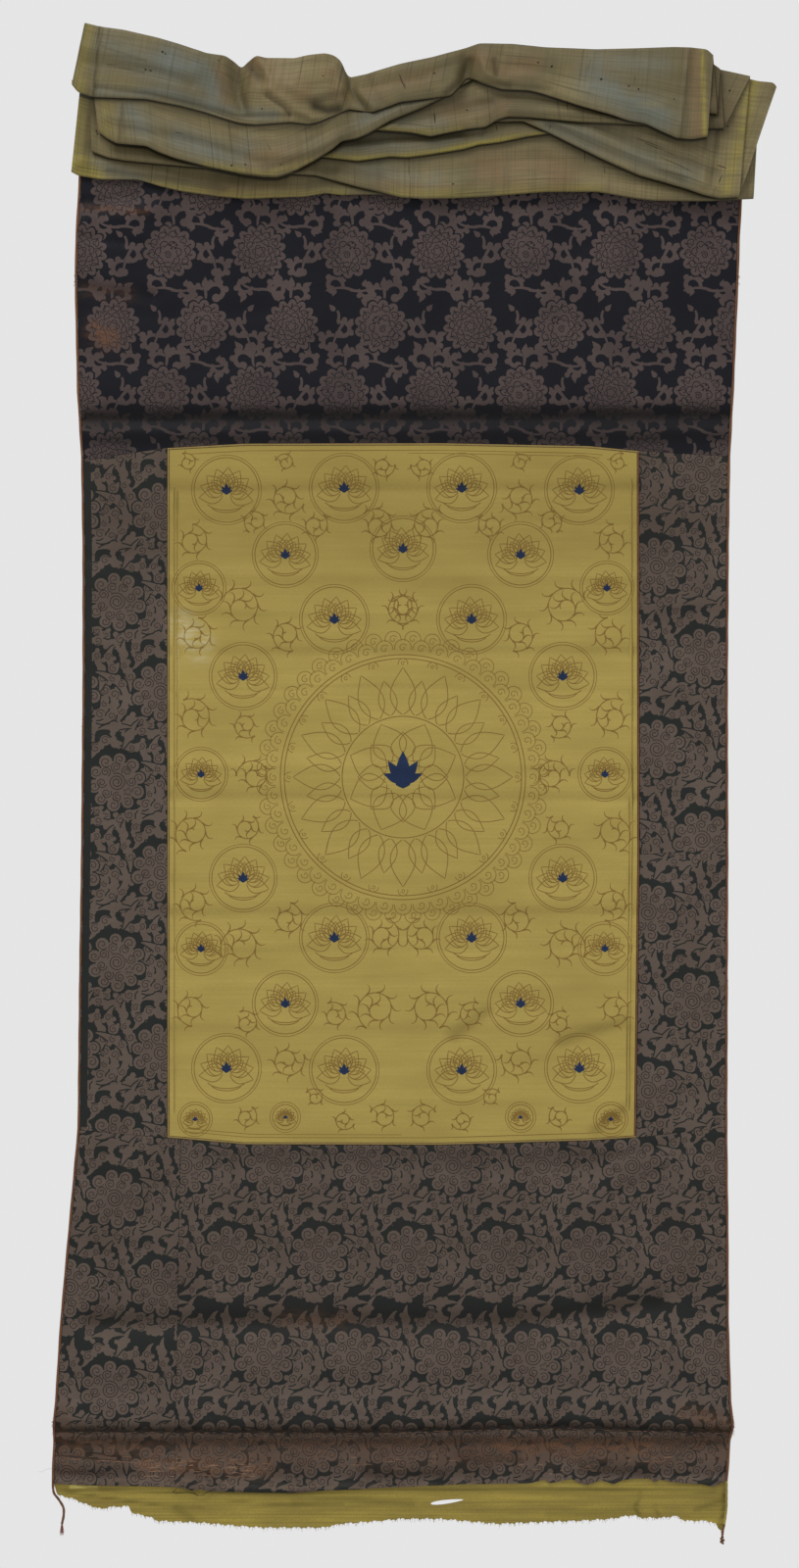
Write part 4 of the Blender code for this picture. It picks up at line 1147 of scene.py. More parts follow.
# ---- lining ----
# Plain yellow silk, caught behind the casing, torn off below it along a ragged edge and slit once.
TORN_EDGE = [(-350, -1426), (-337, -1429), (-320, -1436), (-307, -1440), (-299, -1438), (-279, -1437),
             (-275, -1444), (-257, -1448), (-250, -1452), (-204, -1454), (-171, -1457), (-141, -1459), (-81, -1459),
             (-61, -1455), (-22, -1452), (-2, -1450), (38, -1450), (97, -1455), (150, -1453), (180, -1452),
             (213, -1450), (236, -1446), (243, -1449), (266, -1449), (279, -1447), (289, -1452), (312, -1452),
             (319, -1454.5), (324, -1461), (329, -1463)]
LINING_TOP = -1392
LINING_LEFT = [(-354.6, -1392), (-355, -1414), (-352.5, -1423), (-350.5, -1427)]
LINING_RIGHT = [(332.2, -1392), (332.2, -1413), (331.4, -1430), (330.4, -1448), (328, -1463)]
LINING_BEHIND = 1.8
LINING_SHEET = 1.0
SLIT_X, SLIT_Z, SLIT_LONG, SLIT_HIGH, SLIT_TILT = 46, -1432.5, 34, 5.4, 7


def torn(x):
    """Height of the torn edge, with its ragged threads."""
    return height_on(TORN_EDGE, x) + 0.7 * np.sin(x * 1.3) + 0.6 * np.sin(x * 0.47 + 2)


lining_outline = np.vstack(rim_of(upright(LINING_LEFT, 0), upright(LINING_RIGHT, 0), steady(LINING_TOP), torn, 1.6))
at = 2 * np.pi * np.arange(14) / 14
slit = turned_to(np.stack([0.5 * np.cos(at) * SLIT_LONG, 0.5 * np.sin(at) * SLIT_HIGH * (0.75 - 0.25 * np.cos(at))], 1),
                 SLIT_X, SLIT_Z, SLIT_TILT)
# Plain-woven yellow silk, thin and never glossy. The eye sees a warm dull yellow with level brownish streaks.
YELLOW = woven("yellow lining silk", "#96853a", "#63552a", across=(14, 14, 90), streak=(5, 5, 620), streaky=0.65,
               fine=1000, roughness=0.6, sheen=0.15, soiled_and_shaded="#4d4418", worn="#b5a860")
draw = np.random.default_rng(11)
fringe = []
for x in np.arange(-348, 326, 1.6):
    x = x + draw.uniform(-1, 1)
    z, long, sway = float(torn(x)), draw.uniform(0.5, 3.6), draw.uniform(-1.2, 1.2)
    y = float(relief(x, z)) + LINING_BEHIND
    fringe.append([(x, y, z + 1.5), (x + sway * 0.3, y - 0.2, z - long * 0.4), (x + sway, y - 0.3, z - long)])
lining_fringe = strand_mesh("lining_fringe", fringe, 0.3, YELLOW)
lining = cloth("yellow_lining", lining_outline, (YELLOW,), holes=[slit], thickness=LINING_SHEET,
               behind=LINING_BEHIND, step=(4.0, 3.0))
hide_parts("lining")

# ---- piping and its free ends ----
# Thin rolled piping: pale silk round the picture, but brown down its right side, and brown silk down both long
# edges of the scroll, whose ends hang free below the hem. The left end frays into a red-brown tuft, and the right
# one ends in a small knot.
BESIDE = PIPING / 2 + SEAM_GAP  # from the picture's edge to the middle of its piping
LONG_BESIDE = CORD / 2 + SEAM_GAP  # from the mount's edge to the middle of its piping


def tube(name, points, radii, surface, sides=8, plies=0, lay=6.0, twist=0.14):
    """A closed tube along points, with a radius at each, ridged by its twisted plies."""
    points, radii = np.array(points, float), np.ones(len(points)) * radii
    ahead = np.gradient(points, axis=0)
    ahead /= np.linalg.norm(ahead, axis=1)[:, None]
    away = np.array([0.0, -1.0, 0.0])
    gone = np.concatenate([[0], np.cumsum(np.linalg.norm(np.diff(points, axis=0), axis=1))])
    verts = []
    for centre, direction, radius, distance in zip(points, ahead, radii, gone):
        away = away - direction * (away @ direction)
        away /= np.linalg.norm(away)
        side = np.cross(direction, away)
        for i in range(sides):
            at = 2 * np.pi * i / sides
            ridge = 1 + twist * np.cos(plies * (at - 2 * np.pi * distance / lay / max(plies, 1))) if plies else 1
            verts.append(centre + radius * ridge * (np.cos(at) * away + np.sin(at) * side))
    count = len(points)
    faces = [[r * sides + i, r * sides + (i + 1) % sides, (r + 1) * sides + (i + 1) % sides, (r + 1) * sides + i]
             for r in range(count - 1) for i in range(sides)]
    faces += [list(range(sides))[::-1], [(count - 1) * sides + i for i in range(sides)]]
    return piece(name, verts, faces, surface)


def drawn_out(number, reach):
    """One side of the picture from corner to corner, and a little beyond both."""
    line = np.vstack([picture_sides[number], picture_sides[(number + 1) % 4][:1]])
    first, last = line[0] - line[1], line[-1] - line[-2]
    return np.vstack([line[0] + first / np.hypot(*first) * reach, line, line[-1] + last / np.hypot(*last) * reach])


def on_cloth(places, aside, above):
    """Points of a line on the cloth, set off to the side and upwards."""
    x, z = np.array(places).T
    return np.stack([x + aside, relief(x + aside, z + above), z + above], 1)


# Silk strips, folded and rolled tight. The eye sees a thin pale straw line round the picture, and rubbed brown
# lines down its right side and down the long edges.
PALE_PIPING = woven("pale piping silk", "#857245", "#6f5b36", across=(60, 60, 60), streak=(300, 300, 60),
                    soiled_and_shaded="#3d3220", worn="#a4946c")
BROWN_PIPING = woven("brown piping silk", "#6b4a33", "#513525", across=(70, 70, 70), streak=(260, 260, 260),
                     patchy=0.8, soiled_and_shaded="#2a1c14", worn="#94765c")
ROUND_CORNER, TO_CORNER = 2.3, 0.2  # how far the level and the upright piping reach beyond the picture's corners
for where, number, reach, aside, above, surface in (
        ("top", 2, ROUND_CORNER, 0, BESIDE, PALE_PIPING), ("bottom", 0, ROUND_CORNER, 0, -BESIDE, PALE_PIPING),
        ("left", 3, TO_CORNER, -BESIDE, 0, PALE_PIPING), ("right", 1, TO_CORNER, BESIDE, 0, BROWN_PIPING)):
    made = tube("piping_" + where, on_cloth(drawn_out(number, reach), aside, above), PIPING / 2, surface)
    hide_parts("picture_piping_" + where)

FRAY_PLACES = [  # height, number of threads, reach
    (-188, 9, 3.2), (-1345, 8, 2.6), (-1358, 10, 3.4), (-640, 3, 2.0), (-905, 3, 2.0),
]
# Worn-through silk. The eye sees a few short orange-brown hairs that stand out from the long edges.
FRAYED = woven("frayed orange-brown threads", "#8a5b35", "#633f26", soiled_and_shaded="#2a1c14", worn="#a98258")
heights = np.arange(-1413.0, 0.0, 3.0)
for name, cad, edge, aside in (("left_long_piping", "left_edge_cord", cloth_left, -LONG_BESIDE),
                               ("right_long_piping", "right_edge_cord", cloth_right, LONG_BESIDE)):
    line = np.stack([edge(heights), heights], 1)
    made = tube(name, on_cloth(line, aside, 0), CORD / 2 + 0.12 * np.sin(heights / 7), BROWN_PIPING, 10)
    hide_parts(cad)
    frays = []
    for z0, count, reach in FRAY_PLACES:
        for _ in range(count):
            z = z0 + draw.uniform(-7, 7)
            x, out = float(edge(z)) + aside, np.sign(aside) * draw.uniform(0.4, 1.0) * reach
            y, drop = float(relief(x, z)) - 0.8, draw.uniform(-2, 3)
            frays.append([(x, y, z), (x + out * 0.6, y - 0.5, z + 0.6), (x + out, y - 0.3, z - drop)])
    if aside < 0:  # one long thread at the foot of the left piping
        frays.append([(-357, y, -1398), (-362, y - 1, -1399), (-367, y - 1, -1401.5), (-371, y, -1402)])
    strand_mesh(name + "_frays", frays, 0.3, FRAYED)

LEFT_END = [(-355, -1423), (-350, -1430), (-345.4, -1438), (-345, -1446), (-346.8, -1455)]
RIGHT_END = [(331, -1428), (330.6, -1440), (329, -1453), (327.2, -1462), (326.6, -1468)]
END_FORWARD = 1.0  # how far the free ends hang in front of their feet
FOOT_OVERLAP = 0.8  # how far they reach up into the long piping


def smooth(points, count):
    """Evenly shared points on a smooth curve through the given ones."""
    given = np.array(points, float)
    ends = np.vstack([2 * given[0] - given[1], given, 2 * given[-1] - given[-2]])
    found = []
    for share in np.linspace(0, len(given) - 1, count):
        i = min(int(share), len(given) - 2)
        t = share - i
        a, b, c, d = ends[i:i + 4]
        found.append(0.5 * (2 * b + (c - a) * t + (2 * a - 5 * b + 4 * c - d) * t ** 2
                            + (3 * b - a - 3 * c + d) * t ** 3))
    return np.array(found)


# Loose plied silk. The eye sees a small dull red-brown brush of separate threads.
RED_THREAD = woven("red-brown frayed thread", "#8a4f3d", "#6b382c", across=(90, 90, 90), streak=(500, 500, 60),
                   soiled_and_shaded="#3a2018", worn="#b07a64")


def free_end(name, cad, edge_foot, route, tip_maker, far_end):
    """A piping's end below the hem, with what hangs at its tip."""
    x, z = edge_foot
    y = float(relief(x, z))
    points = smooth([(x, y, z + FOOT_OVERLAP)] + [(a, y - END_FORWARD, b) for a, b in route], 40)
    made = tube(name, points, CORD / 2, BROWN_PIPING, 10, 2, 7.0, 0.08)
    if far_end == "knot":  # torn yellow silk of the lining still wraps most of this end
        made.data.materials.append(YELLOW)
        made.data.polygons.foreach_set("material_index", [int(f.center.z > -1455 * MM) for f in made.data.polygons])
    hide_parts(cad)
    tip = tip_maker(points[-1])


TUFT_THREADS = 34
KNOT_TURNS, KNOT_POINTS = 2.2, 60


def tuft(end):
    """Loose threads that fan out from the end of the piping."""
    draw = np.random.default_rng(5)
    strands = []
    for _ in range(TUFT_THREADS):
        at, out = draw.uniform(0, 2 * np.pi), draw.uniform(0.3, 1.0)
        sway, long, share = draw.uniform(-0.8, 0.8), draw.uniform(8, 12), np.linspace(0, 1, 6)
        strands.append(np.stack([end[0] + np.cos(at) * out * (0.7 + 1.5 * share) + sway * share ** 2,
                                 end[1] + np.sin(at) * out * (0.7 + 0.9 * share), end[2] - SEAM_GAP - long * share], 1))
    made = strand_mesh("left_tuft", strands, 0.24, RED_THREAD)
    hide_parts("left_cord_tuft")
    return made


def knot(end):
    """A single overhand knot, drawn tight."""
    turned = np.linspace(0, 2 * np.pi * KNOT_TURNS, KNOT_POINTS)
    rise = np.linspace(0.8, -6.2, KNOT_POINTS)
    wide = 1.35 * np.sin(np.linspace(0.35, np.pi - 0.35, KNOT_POINTS)) + 0.15
    points = np.stack([end[0] + wide * np.cos(turned), end[1] + wide * np.sin(turned),
                       end[2] - SEAM_GAP + rise - 0.8], 1)
    made = tube("right_knot", points, 1.15, BROWN_PIPING, 8, 2, 3.0, 0.1)
    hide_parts("right_cord_knot")
    return made


left_foot = (cloth_left(-1414.0) - LONG_BESIDE, -1414.0)
right_foot = (cloth_right(-1412.0) + LONG_BESIDE, -1412.0)
free_end("left_free_end", "left_cord_end", left_foot, LEFT_END, tuft, "bare")
free_end("right_free_end", "right_cord_end", right_foot, RIGHT_END, knot, "knot")

# ---- cover cloth ----
# A thin yellow-olive silk veil with a slubbed weave, sewn along the scroll's top edge. It covered the picture, and
# here it is gathered up in a pile of folds that runs back and forth from the sewn edge to the free one in front.
FRONT_TOP = [(-322, 73), (-306, 69), (-283, 66), (-248, 58), (-225, 51), (-199, 42), (-179, 39.5), (-169, 33),
             (-163, 27), (-156, 34), (-148, 39.5), (-138, 37), (-109, 36.5), (-95, 40), (-78, 42), (-69, 40),
             (-61, 34), (-58, 25), (-54, 18.5), (-35, 21.5), (-2, 31), (31, 38), (56, 45), (78, 52), (112, 51.5),
             (145, 48), (197, 46), (236, 47), (277, 48.5), (294, 48), (310, 46), (316, 40)]


def hidden_top(drop, left, tail):
    """An upper fold behind the front one: a little lower, and with a right end of its own that shows."""
    return [(max(x, left), z - drop) for x, z in FRONT_TOP[:-4] if x < tail[0][0]] + tail


VEIL_FOLDS = [
    # sewn edge
    [(-322, -3), (343, -3)],
    # bottom of the pile at the left
    [(-337, -76), (-330, -80), (-305, -84), (-269, -84), (-246, -91), (-225, -96), (-185, -101.5), (-160, -103.5),
     (-100, -101.5), (-78, -98), (-61, -100), (40, -98), (145, -90), (251, -95), (352, -93)],
    hidden_top(5, -329, [(300, 36), (322, 22), (345, 16), (360, 12)]),
    # the short layer at the left, then the bottom of the pile at the right
    [(-316, -56), (-300, -62), (-283, -65), (-242, -69), (-160, -76), (-88, -80), (-67, -86), (-45, -92),
     (-23, -97), (-2, -102.5), (20, -104), (52, -103.5), (85, -102), (145, -97), (198, -97), (236, -103.5),
     (258, -106), (312, -106.5), (358, -104)],
    hidden_top(4.5, -320, [(300, 38), (325, 24), (350, 18), (365, 14)]),
    # the layer with the bright hem in the middle
    [(-310, -18), (-231, -33), (-134, -55), (-67, -63.5), (-45, -66), (-12, -61.5), (5, -62.5), (25, -60),
     (63, -54), (78, -49.5), (99, -47), (128, -41), (150, -38), (203, -42), (251, -46), (350, -50)],
    hidden_top(4, -318, [(300, 40), (330, 24), (345, 20), (362, 15.5), (379, 14), (381, 10)]),
    # the long slanting fold at the right
    [(-310, -6), (-183, -12), (-86, -16), (10, -21), (58, -24), (101, -26.5), (123, -26), (134, -31), (150, -38),
     (180, -53), (209, -67), (241, -81), (263, -87), (290, -95), (307, -101), (323, -104.5), (343, -103)],
    hidden_top(3.5, -318, [(300, 42), (322, 27), (345, 22), (354, 20)]),
    # the middle fold
    [(-306, -12), (-231, -18), (-134, -26), (-60, -33), (-26, -35.5), (9, -38), (29, -42), (47, -38), (69, -34),
     (85, -32.5), (96, -25.5), (107, -22), (128, -22.5), (180, -27.5), (247, -30.5), (290, -34), (327, -34)],
    hidden_top(3, -318, [(300, 43), (316, 32), (323, 27)]),
    # the broad fold at the left, which slants up into the middle
    [(-308, -38), (-300, -44), (-290, -49.5), (-260, -52), (-248, -58), (-231, -64.5), (-198, -73), (-161, -81),
     (-141, -83.5), (-127, -84), (-116, -80.5), (-105, -75.5), (-89, -67), (-70, -55), (-61, -47), (-45, -44),
     (-34, -39.5), (-12, -26.5), (20, -13.5), (42, -3), (58, 8), (74, 17), (107, 14), (155, 8), (203, 0),
     (251, -12), (320, -20)],
    FRONT_TOP,
    # free edge
    [(-335, 10), (-329, 2), (-313, -3), (-260, -5), (-225, -12), (-200, -18.5), (-181, -24.5), (-165, -29),
     (-149, -31), (-113, -28.5), (-95, -30.5), (-85, -28.5), (-70, -22), (-54, -14.5), (-41, -16.5), (-30, -18),
     (-18, -14), (-2, -8), (31, -4), (50, -1), (58, 8), (66, 18), (74, 15), (82, 11), (101, 5), (128, 4),
     (139, 1.5), (161, -5.5), (182, -12.5), (212, -21), (229, -27), (247, -30), (263, -37.5), (279, -44.5),
     (295, -45.5), (310, -43)],
]
SEWN_DEPTH = 1.6  # how far the sewn edge stands in front of the mount's middle
VEIL_DEPTHS = [4.2, 7.2, 10.2, 13.2, 16.2, 19.2, 22.2, 25.2, 28.2, 31.2, 34.2, 37.2, 41]  # the same for each run
VEIL_SWELLS = [  # x, z, reach across, reach up, height
    (-110, 10, 42, 30, 15),  # the hump left of the pinch
    (-165, 10, 12, 44, -11),  # the valley below the notch
    (-215, 18, 36, 40, 7),
    (-50, 30, 13, 60, -15),  # the pinch
    (20, 22, 42, 26, 6),
    (66, 22, 9, 28, -11),  # the pleat
    (88, 30, 12, 22, 6),
    (140, 30, 50, 30, 4),
    (230, 0, 60, 40, 7),
    (-300, 30, 30, 50, 4),
]
# Creases, by the first and the last run of the pile that they show on: a line, its flank and its height.
VEIL_CREASES = {
    (12, 12): [
        ([(-306, 70), (-313, -2)], 2.2, 1.6),  # hems at the front fold's ends
        ([(-309, 70), (-317, -2)], 2.0, -0.8), ([(292, 45), (282.5, -44)], 2.0, 1.6),
        ([(298, 45), (290, -44)], 3.0, -1.4),
        ([(-310, 7), (-256, 0), (-218, -9), (-170, -22), (-114, -22), (-95, -26)], 3.0, -2.0),
        ([(-205, 42), (-192, 18), (-184, -6), (-165, -20)], 7, 3.2),  # folds that slant into the valley
        ([(-172, 28), (-168, 8), (-162, -14)], 5, -3.2), ([(-156, 33), (-146, 22), (-142, 12)], 5, -3.5),
        ([(-147, 38), (-138, 24), (-132, 6)], 5, 2.4), ([(-138, -2), (-120, -14), (-114, -21)], 2.6, -2.0),
        ([(-138, 6), (-117, -8), (-105, -18), (-90, -25)], 4, 2.4),
        ([(-88, -13), (-75, -17), (-64, -15)], 5, -5.0),  # the pocket behind the lip
        ([(-112, 6), (-90, -3), (-62, 4)], 6, 2.6), ([(-57, 24), (-53, 7), (-36, -16)], 4, -3.5),
        ([(-66, 30), (-62, 10), (-60, -4)], 4, 2.2), ([(-46, 18), (-42, 0), (-28, -14)], 3.5, 1.4),
        ([(-36, 20), (-30, 4), (-20, -10)], 3.5, -1.2), ([(69, 34), (59, 13), (46, 0)], 4, -3.4),
        ([(80, 36), (85, 20), (106, 14)], 4, 2.8), ([(94, 34), (96, 20)], 3, -2.8),
        ([(80, 11), (109, 8), (150, 4)], 3, -1.8), ([(104, 36), (112, 22), (150, 16)], 5, 1.8),
        ([(-330, 50), (-260, 34), (-210, 22)], 7, 1.8), ([(-320, 32), (-250, 22), (-214, 8)], 5, -1.8),
        ([(-300, 20), (-240, 12), (-205, 0)], 6, 1.4), ([(-130, 24), (-96, 27), (-74, 32)], 5, -1.6),
        ([(120, 40), (200, 28), (290, 24)], 7, 1.6), ([(110, 26), (200, 10), (290, -2)], 6, -1.6),
        ([(190, 4), (240, -12), (285, -30)], 6, 1.8), ([(-40, 6), (20, 16), (52, 30)], 5, -1.6),
        ([(-20, 22), (30, 30), (60, 40)], 5, 1.4),
    ],
    (11, 11): [
        ([(-284, -5), (-288, -48)], 2.0, 1.5),  # the hem of the broad fold
        ([(-300, -24), (-230, -34), (-160, -56), (-110, -60)], 6, 2.2),
        ([(-280, -36), (-200, -50), (-140, -70)], 4, -1.8),
        ([(-250, -16), (-180, -34), (-120, -40), (-60, -30)], 6, -1.6),
        ([(-120, -66), (-80, -52), (-40, -30), (0, -12)], 5, 2.0), ([(-90, -44), (-40, -26), (30, 2)], 4, -1.8),
    ],
    (9, 9): [
        ([(-60, -30), (20, -34), (60, -26), (90, -18)], 4, 1.6), ([(0, -30), (50, -18), (90, -8)], 4, -2.0),
        ([(110, -16), (190, -20), (280, -28)], 4, 1.6), ([(100, 2), (180, -6), (260, -20)], 6, -2.0),
    ],
    (7, 7): [
        ([(140, -22), (200, -42), (270, -74), (320, -92)], 5, 2.6), ([(150, -30), (212, -56), (285, -86)], 4, -2.2),
        ([(200, -30), (260, -56), (320, -78)], 5, -2.0), ([(230, -34), (300, -60)], 4, 1.6),
        ([(318, 30), (312, -40), (306, -92)], 2.2, 1.8), ([(326, 30), (320, -40), (314, -92)], 2.2, -1.6),
    ],
    (5, 5): [
        ([(-90, -54), (0, -50), (60, -44)], 4, 2.0), ([(-100, -44), (-20, -42), (80, -36)], 4, -2.2),
        ([(-310, -18), (-240, -36), (-160, -60)], 4, 1.2),
    ],
    (3, 3): [
        ([(-300, -58), (-240, -66), (-170, -72)], 3.5, 1.4), ([(-60, -76), (0, -86), (60, -92)], 6, 2.0),
        ([(-90, -72), (-20, -80), (60, -72), (140, -60)], 6, -1.8), ([(60, -84), (150, -84), (240, -92)], 7, 1.8),
        ([(120, -62), (180, -70), (240, -88)], 5, -1.6),
    ],
    (1, 1): [
        ([(-330, -66), (-290, -72), (-230, -84), (-160, -92)], 5, 2.4),
        ([(-310, -76), (-250, -82), (-200, -92)], 3, -1.8), ([(-150, -94), (-80, -92), (-20, -96)], 4, 1.6),
        ([(-322, -20), (-326, -70)], 3, 1.4),
    ],
}
# Where the silk is darkened, greyed blue, browned or yellowed, by runs too: a line, its flank and its strength. The
# darkening is painted shade in the creases, valleys, the pocket and under the folds, dark hem seams, and a broad
# darkening of the ends and the left half.
VEIL_SHADE_AND_DARKENING = {
    (12, 12): [
        ([(-306.5, 70), (-313, -2)], 1.3, 0.65), ([(292, 45), (282.5, -44)], 1.2, 0.6),
        ([(-322, 64), (-320, 4)], 9, 0.2),  # darker at the ends and across the left half
        ([(-298, 40), (-215, 10)], 28, 0.22),
        ([(-310, 7), (-256, 0), (-218, -9), (-170, -22), (-114, -22)], 2.5, 0.4),
        ([(-168, 24), (-164, 4), (-158, -16)], 6, 0.5), ([(-156, 30), (-146, 18)], 5, 0.6),
        ([(-138, -2), (-120, -14), (-114, -21)], 1.8, 0.55), ([(-92, -6), (-62, 2)], 5, 0.35),
        ([(-88, -13), (-75, -17), (-64, -15)], 4.5, 0.95), ([(-57, 22), (-53, 7), (-36, -16)], 3.0, 0.55),
        ([(69, 34), (59, 13), (46, 0)], 4.0, 0.5), ([(94, 33), (96, 20)], 3.0, 0.5),
        ([(80, 11), (109, 8)], 2.6, 0.4), ([(-304, 48), (-260, 34)], 1.2, 0.3),
        ([(-298, 30), (-262, 22)], 1.0, 0.45),
    ],
    (11, 11): [
        ([(-290, -20), (-210, -40), (-100, -50)], 22, 0.15), ([(-284, -5), (-288, -48)], 1.4, 0.35),
        ([(-140, -74), (-90, -58), (-50, -36)], 5, 0.35),
    ],
    (3, 11): [([(312, 30), (318, -30)], 16, 0.5)],
    (0, 5): [([(-326, 10), (-330, -74)], 7, 0.2)],
    (9, 9): [([(0, -24), (40, -10), (90, -6)], 8, 0.45), ([(110, -16), (190, -22), (290, -30)], 3, 0.3)],
    (7, 7): [
        ([(150, -30), (212, -56), (285, -86)], 5, 0.4), ([(200, -30), (260, -56), (320, -78)], 6, 0.35),
        ([(326, 30), (320, -40), (314, -92)], 2.0, 0.4),
    ],
    (5, 5): [([(-140, -46), (-60, -42), (60, -38)], 8, 0.55)],
    (3, 3): [([(-90, -72), (-20, -80)], 5, 0.35)],
    (1, 3): [([(-320, -50), (-322, -72)], 7, 0.3)],
    (1, 1): [([(-300, -74), (-230, -84), (-180, -94)], 3, 0.45)],
}
VEIL_BLUE = {
    (12, 12): [
        ([(-300, 52), (-262, 34), (-236, 20)], 17, 0.55), ([(-236, 38), (-204, 26), (-190, 4)], 13, 0.85),
        ([(-305, 3), (-240, 0), (-190, -14), (-130, -22)], 7, 0.7), ([(195, 12), (230, -8), (262, -24)], 17, 0.85),
        ([(200, 34), (262, 30)], 12, 0.45),
    ],
    (11, 11): [
        ([(-276, -16), (-262, -36)], 12, 0.7), ([(-226, -44), (-190, -58), (-160, -60)], 12, 0.75),
        ([(-40, -26), (0, -8), (40, 6)], 8, 0.6),
    ],
    (9, 9): [([(-40, -20), (40, -30)], 9, 0.45)],
    (7, 7): [([(150, -30), (230, -58), (290, -78)], 14, 0.6)],
    (5, 5): [([(-100, -48), (0, -50), (80, -44)], 10, 0.45)],
    (3, 3): [([(-40, -74), (30, -84)], 12, 0.4)],
    (1, 1): [([(-310, -70), (-270, -80)], 7, 0.6)],
}
VEIL_BROWN = {
    (12, 12): [
        # of these, the band from (-184, 26) to (-178, -8) is painted shade on the flank that falls into the valley
        ([(-146, 28), (-126, 10), (-104, 2)], 14, 0.7), ([(-184, 26), (-178, -8)], 7, 0.5),
        ([(-72, 20), (-64, 0)], 9, 0.6), ([(-30, 4), (30, 20)], 9, 0.45),
        ([(80, 38), (100, 26), (130, 30)], 12, 0.6), ([(296, 44), (300, -40)], 7, 0.6),
    ],
    (11, 11): [([(-150, -66), (-110, -62)], 12, 0.5)],
    (9, 9): [([(40, -18), (100, -10)], 12, 0.5)],
    (3, 3): [([(90, -70), (160, -80)], 18, 0.8), ([(-20, -90), (40, -96)], 8, 0.4)],
    (1, 1): [([(-220, -96), (-100, -96)], 8, 0.5)],
    (5, 11): [([(300, 20), (330, -20)], 14, 0.4)],
}
VEIL_YELLOW = {
    (12, 12): [([(-318, 66), (-328, 2)], 7, 0.55), ([(305, 44), (307, -40)], 2.5, 0.8)],
    (11, 11): [([(-300, -6), (-300, -40)], 7, 0.45), ([(-200, -70), (-140, -82), (-90, -68)], 4, 0.45)],
    (1, 5): [([(-330, 10), (-333, -74)], 9, 0.75)],
    (0, 1): [([(-326, -66), (-312, -84)], 10, 0.9)],
    (5, 5): [([(-80, -61), (-45, -65), (5, -62), (37, -58), (59, -52), (117, -43), (154, -38)], 3.6, 0.95)],
    (3, 3): [([(-10, -99), (90, -99), (200, -94)], 5, 0.45)],
    (1, 1): [([(-250, -90), (-160, -101), (-60, -98)], 5, 0.5)],
    (5, 7): [([(330, -96), (345, -40), (358, 14)], 7, 0.65)],
    (9, 9): [([(-60, -31), (20, -38), (60, -34)], 3, 0.5)],
}


def swell(x, z):
    """How far the whole pile swells out or falls back."""
    return sum(height * np.exp(-((x - x0) / across) ** 2 - ((z - z0) / up) ** 2)
               for x0, z0, across, up, height in VEIL_SWELLS)


def on_runs(table, run, x, z):
    """What the rows of a table of the veil add up to on one of its runs."""
    return total_of([row for (first, last), rows in table.items() if first <= run <= last for row in rows], x, z)


def softened(values):
    """Rounds the corners of a line across the veil."""
    for _ in range(2):
        values = np.concatenate([values[:1], (values[:-2] + 2 * values[1:-1] + values[2:]) / 4, values[-1:]])
    return values


VEIL_WIDE = 690
VEIL_ACROSS = np.linspace(0, 1, 360)
FREE_EDGE = len(VEIL_FOLDS) - 1
fold_lines = []  # x and z across the veil, for each fold line
for line in VEIL_FOLDS:
    x = line[0][0] * (1 - VEIL_ACROSS) + line[-1][0] * VEIL_ACROSS
    fold_lines.append((x, softened(height_on(line, x))))
BELLY, BELLY_REACH = 2.6, 8.0  # how far a layer swells out above its lower edge, and how far up that is
DEEPEST = 2.6  # how far a crease may dip towards the layer behind
veil_rows, veil_marks = [], []


def add_row(run, share, depth, lift=0.0):
    """One more row of the pile's points, with its colour marks and painted shade, and its distances from the fold edges
    for the painted shadow.
    """
    (x0, z0), (x1, z1) = fold_lines[run], fold_lines[min(run + 1, FREE_EDGE)]
    x, z = x0 * (1 - share) + x1 * share, z0 * (1 - share) + z1 * share + lift
    lower = run if run % 2 else run + 1
    below = np.full(len(x), 60.0)  # how far below the edges of the layers in front
    for cover in range(lower + 2, FREE_EDGE + 1, 2) if run < FREE_EDGE - 1 else ():
        inside = (x > fold_lines[cover][0][0]) & (x < fold_lines[cover][0][-1])
        below = np.where(inside, np.minimum(below, np.interp(x, *fold_lines[cover]) - z), below)
    above = np.maximum(z - np.interp(x, *fold_lines[lower]), 0) / BELLY_REACH
    out = 0.35 * np.sin(x / 8.5 + z / 13 + 2 * run) * np.sin(z / 17 - x / 41 + run)
    if share > 0 or run % 2:
        out += BELLY * above * np.exp(1 - above) * (0.35 + 0.65 * (run >= 3))
    out += on_runs(VEIL_CREASES, run, x, z)
    out = np.where(out < 0, -DEEPEST * np.tanh(-out / DEEPEST), out) * np.clip((below + 1.5) / 6, 0, 1)
    y = -depth - swell(x, z) * depth / VEIL_DEPTHS[-1] - out
    veil_rows.append(np.stack([x, y, z], -1))
    veil_marks.append([on_runs(table, run, x, z) for table in (VEIL_SHADE_AND_DARKENING, VEIL_BLUE, VEIL_BROWN, VEIL_YELLOW)]
                      + [below, z - np.interp(x, *fold_lines[lower])])


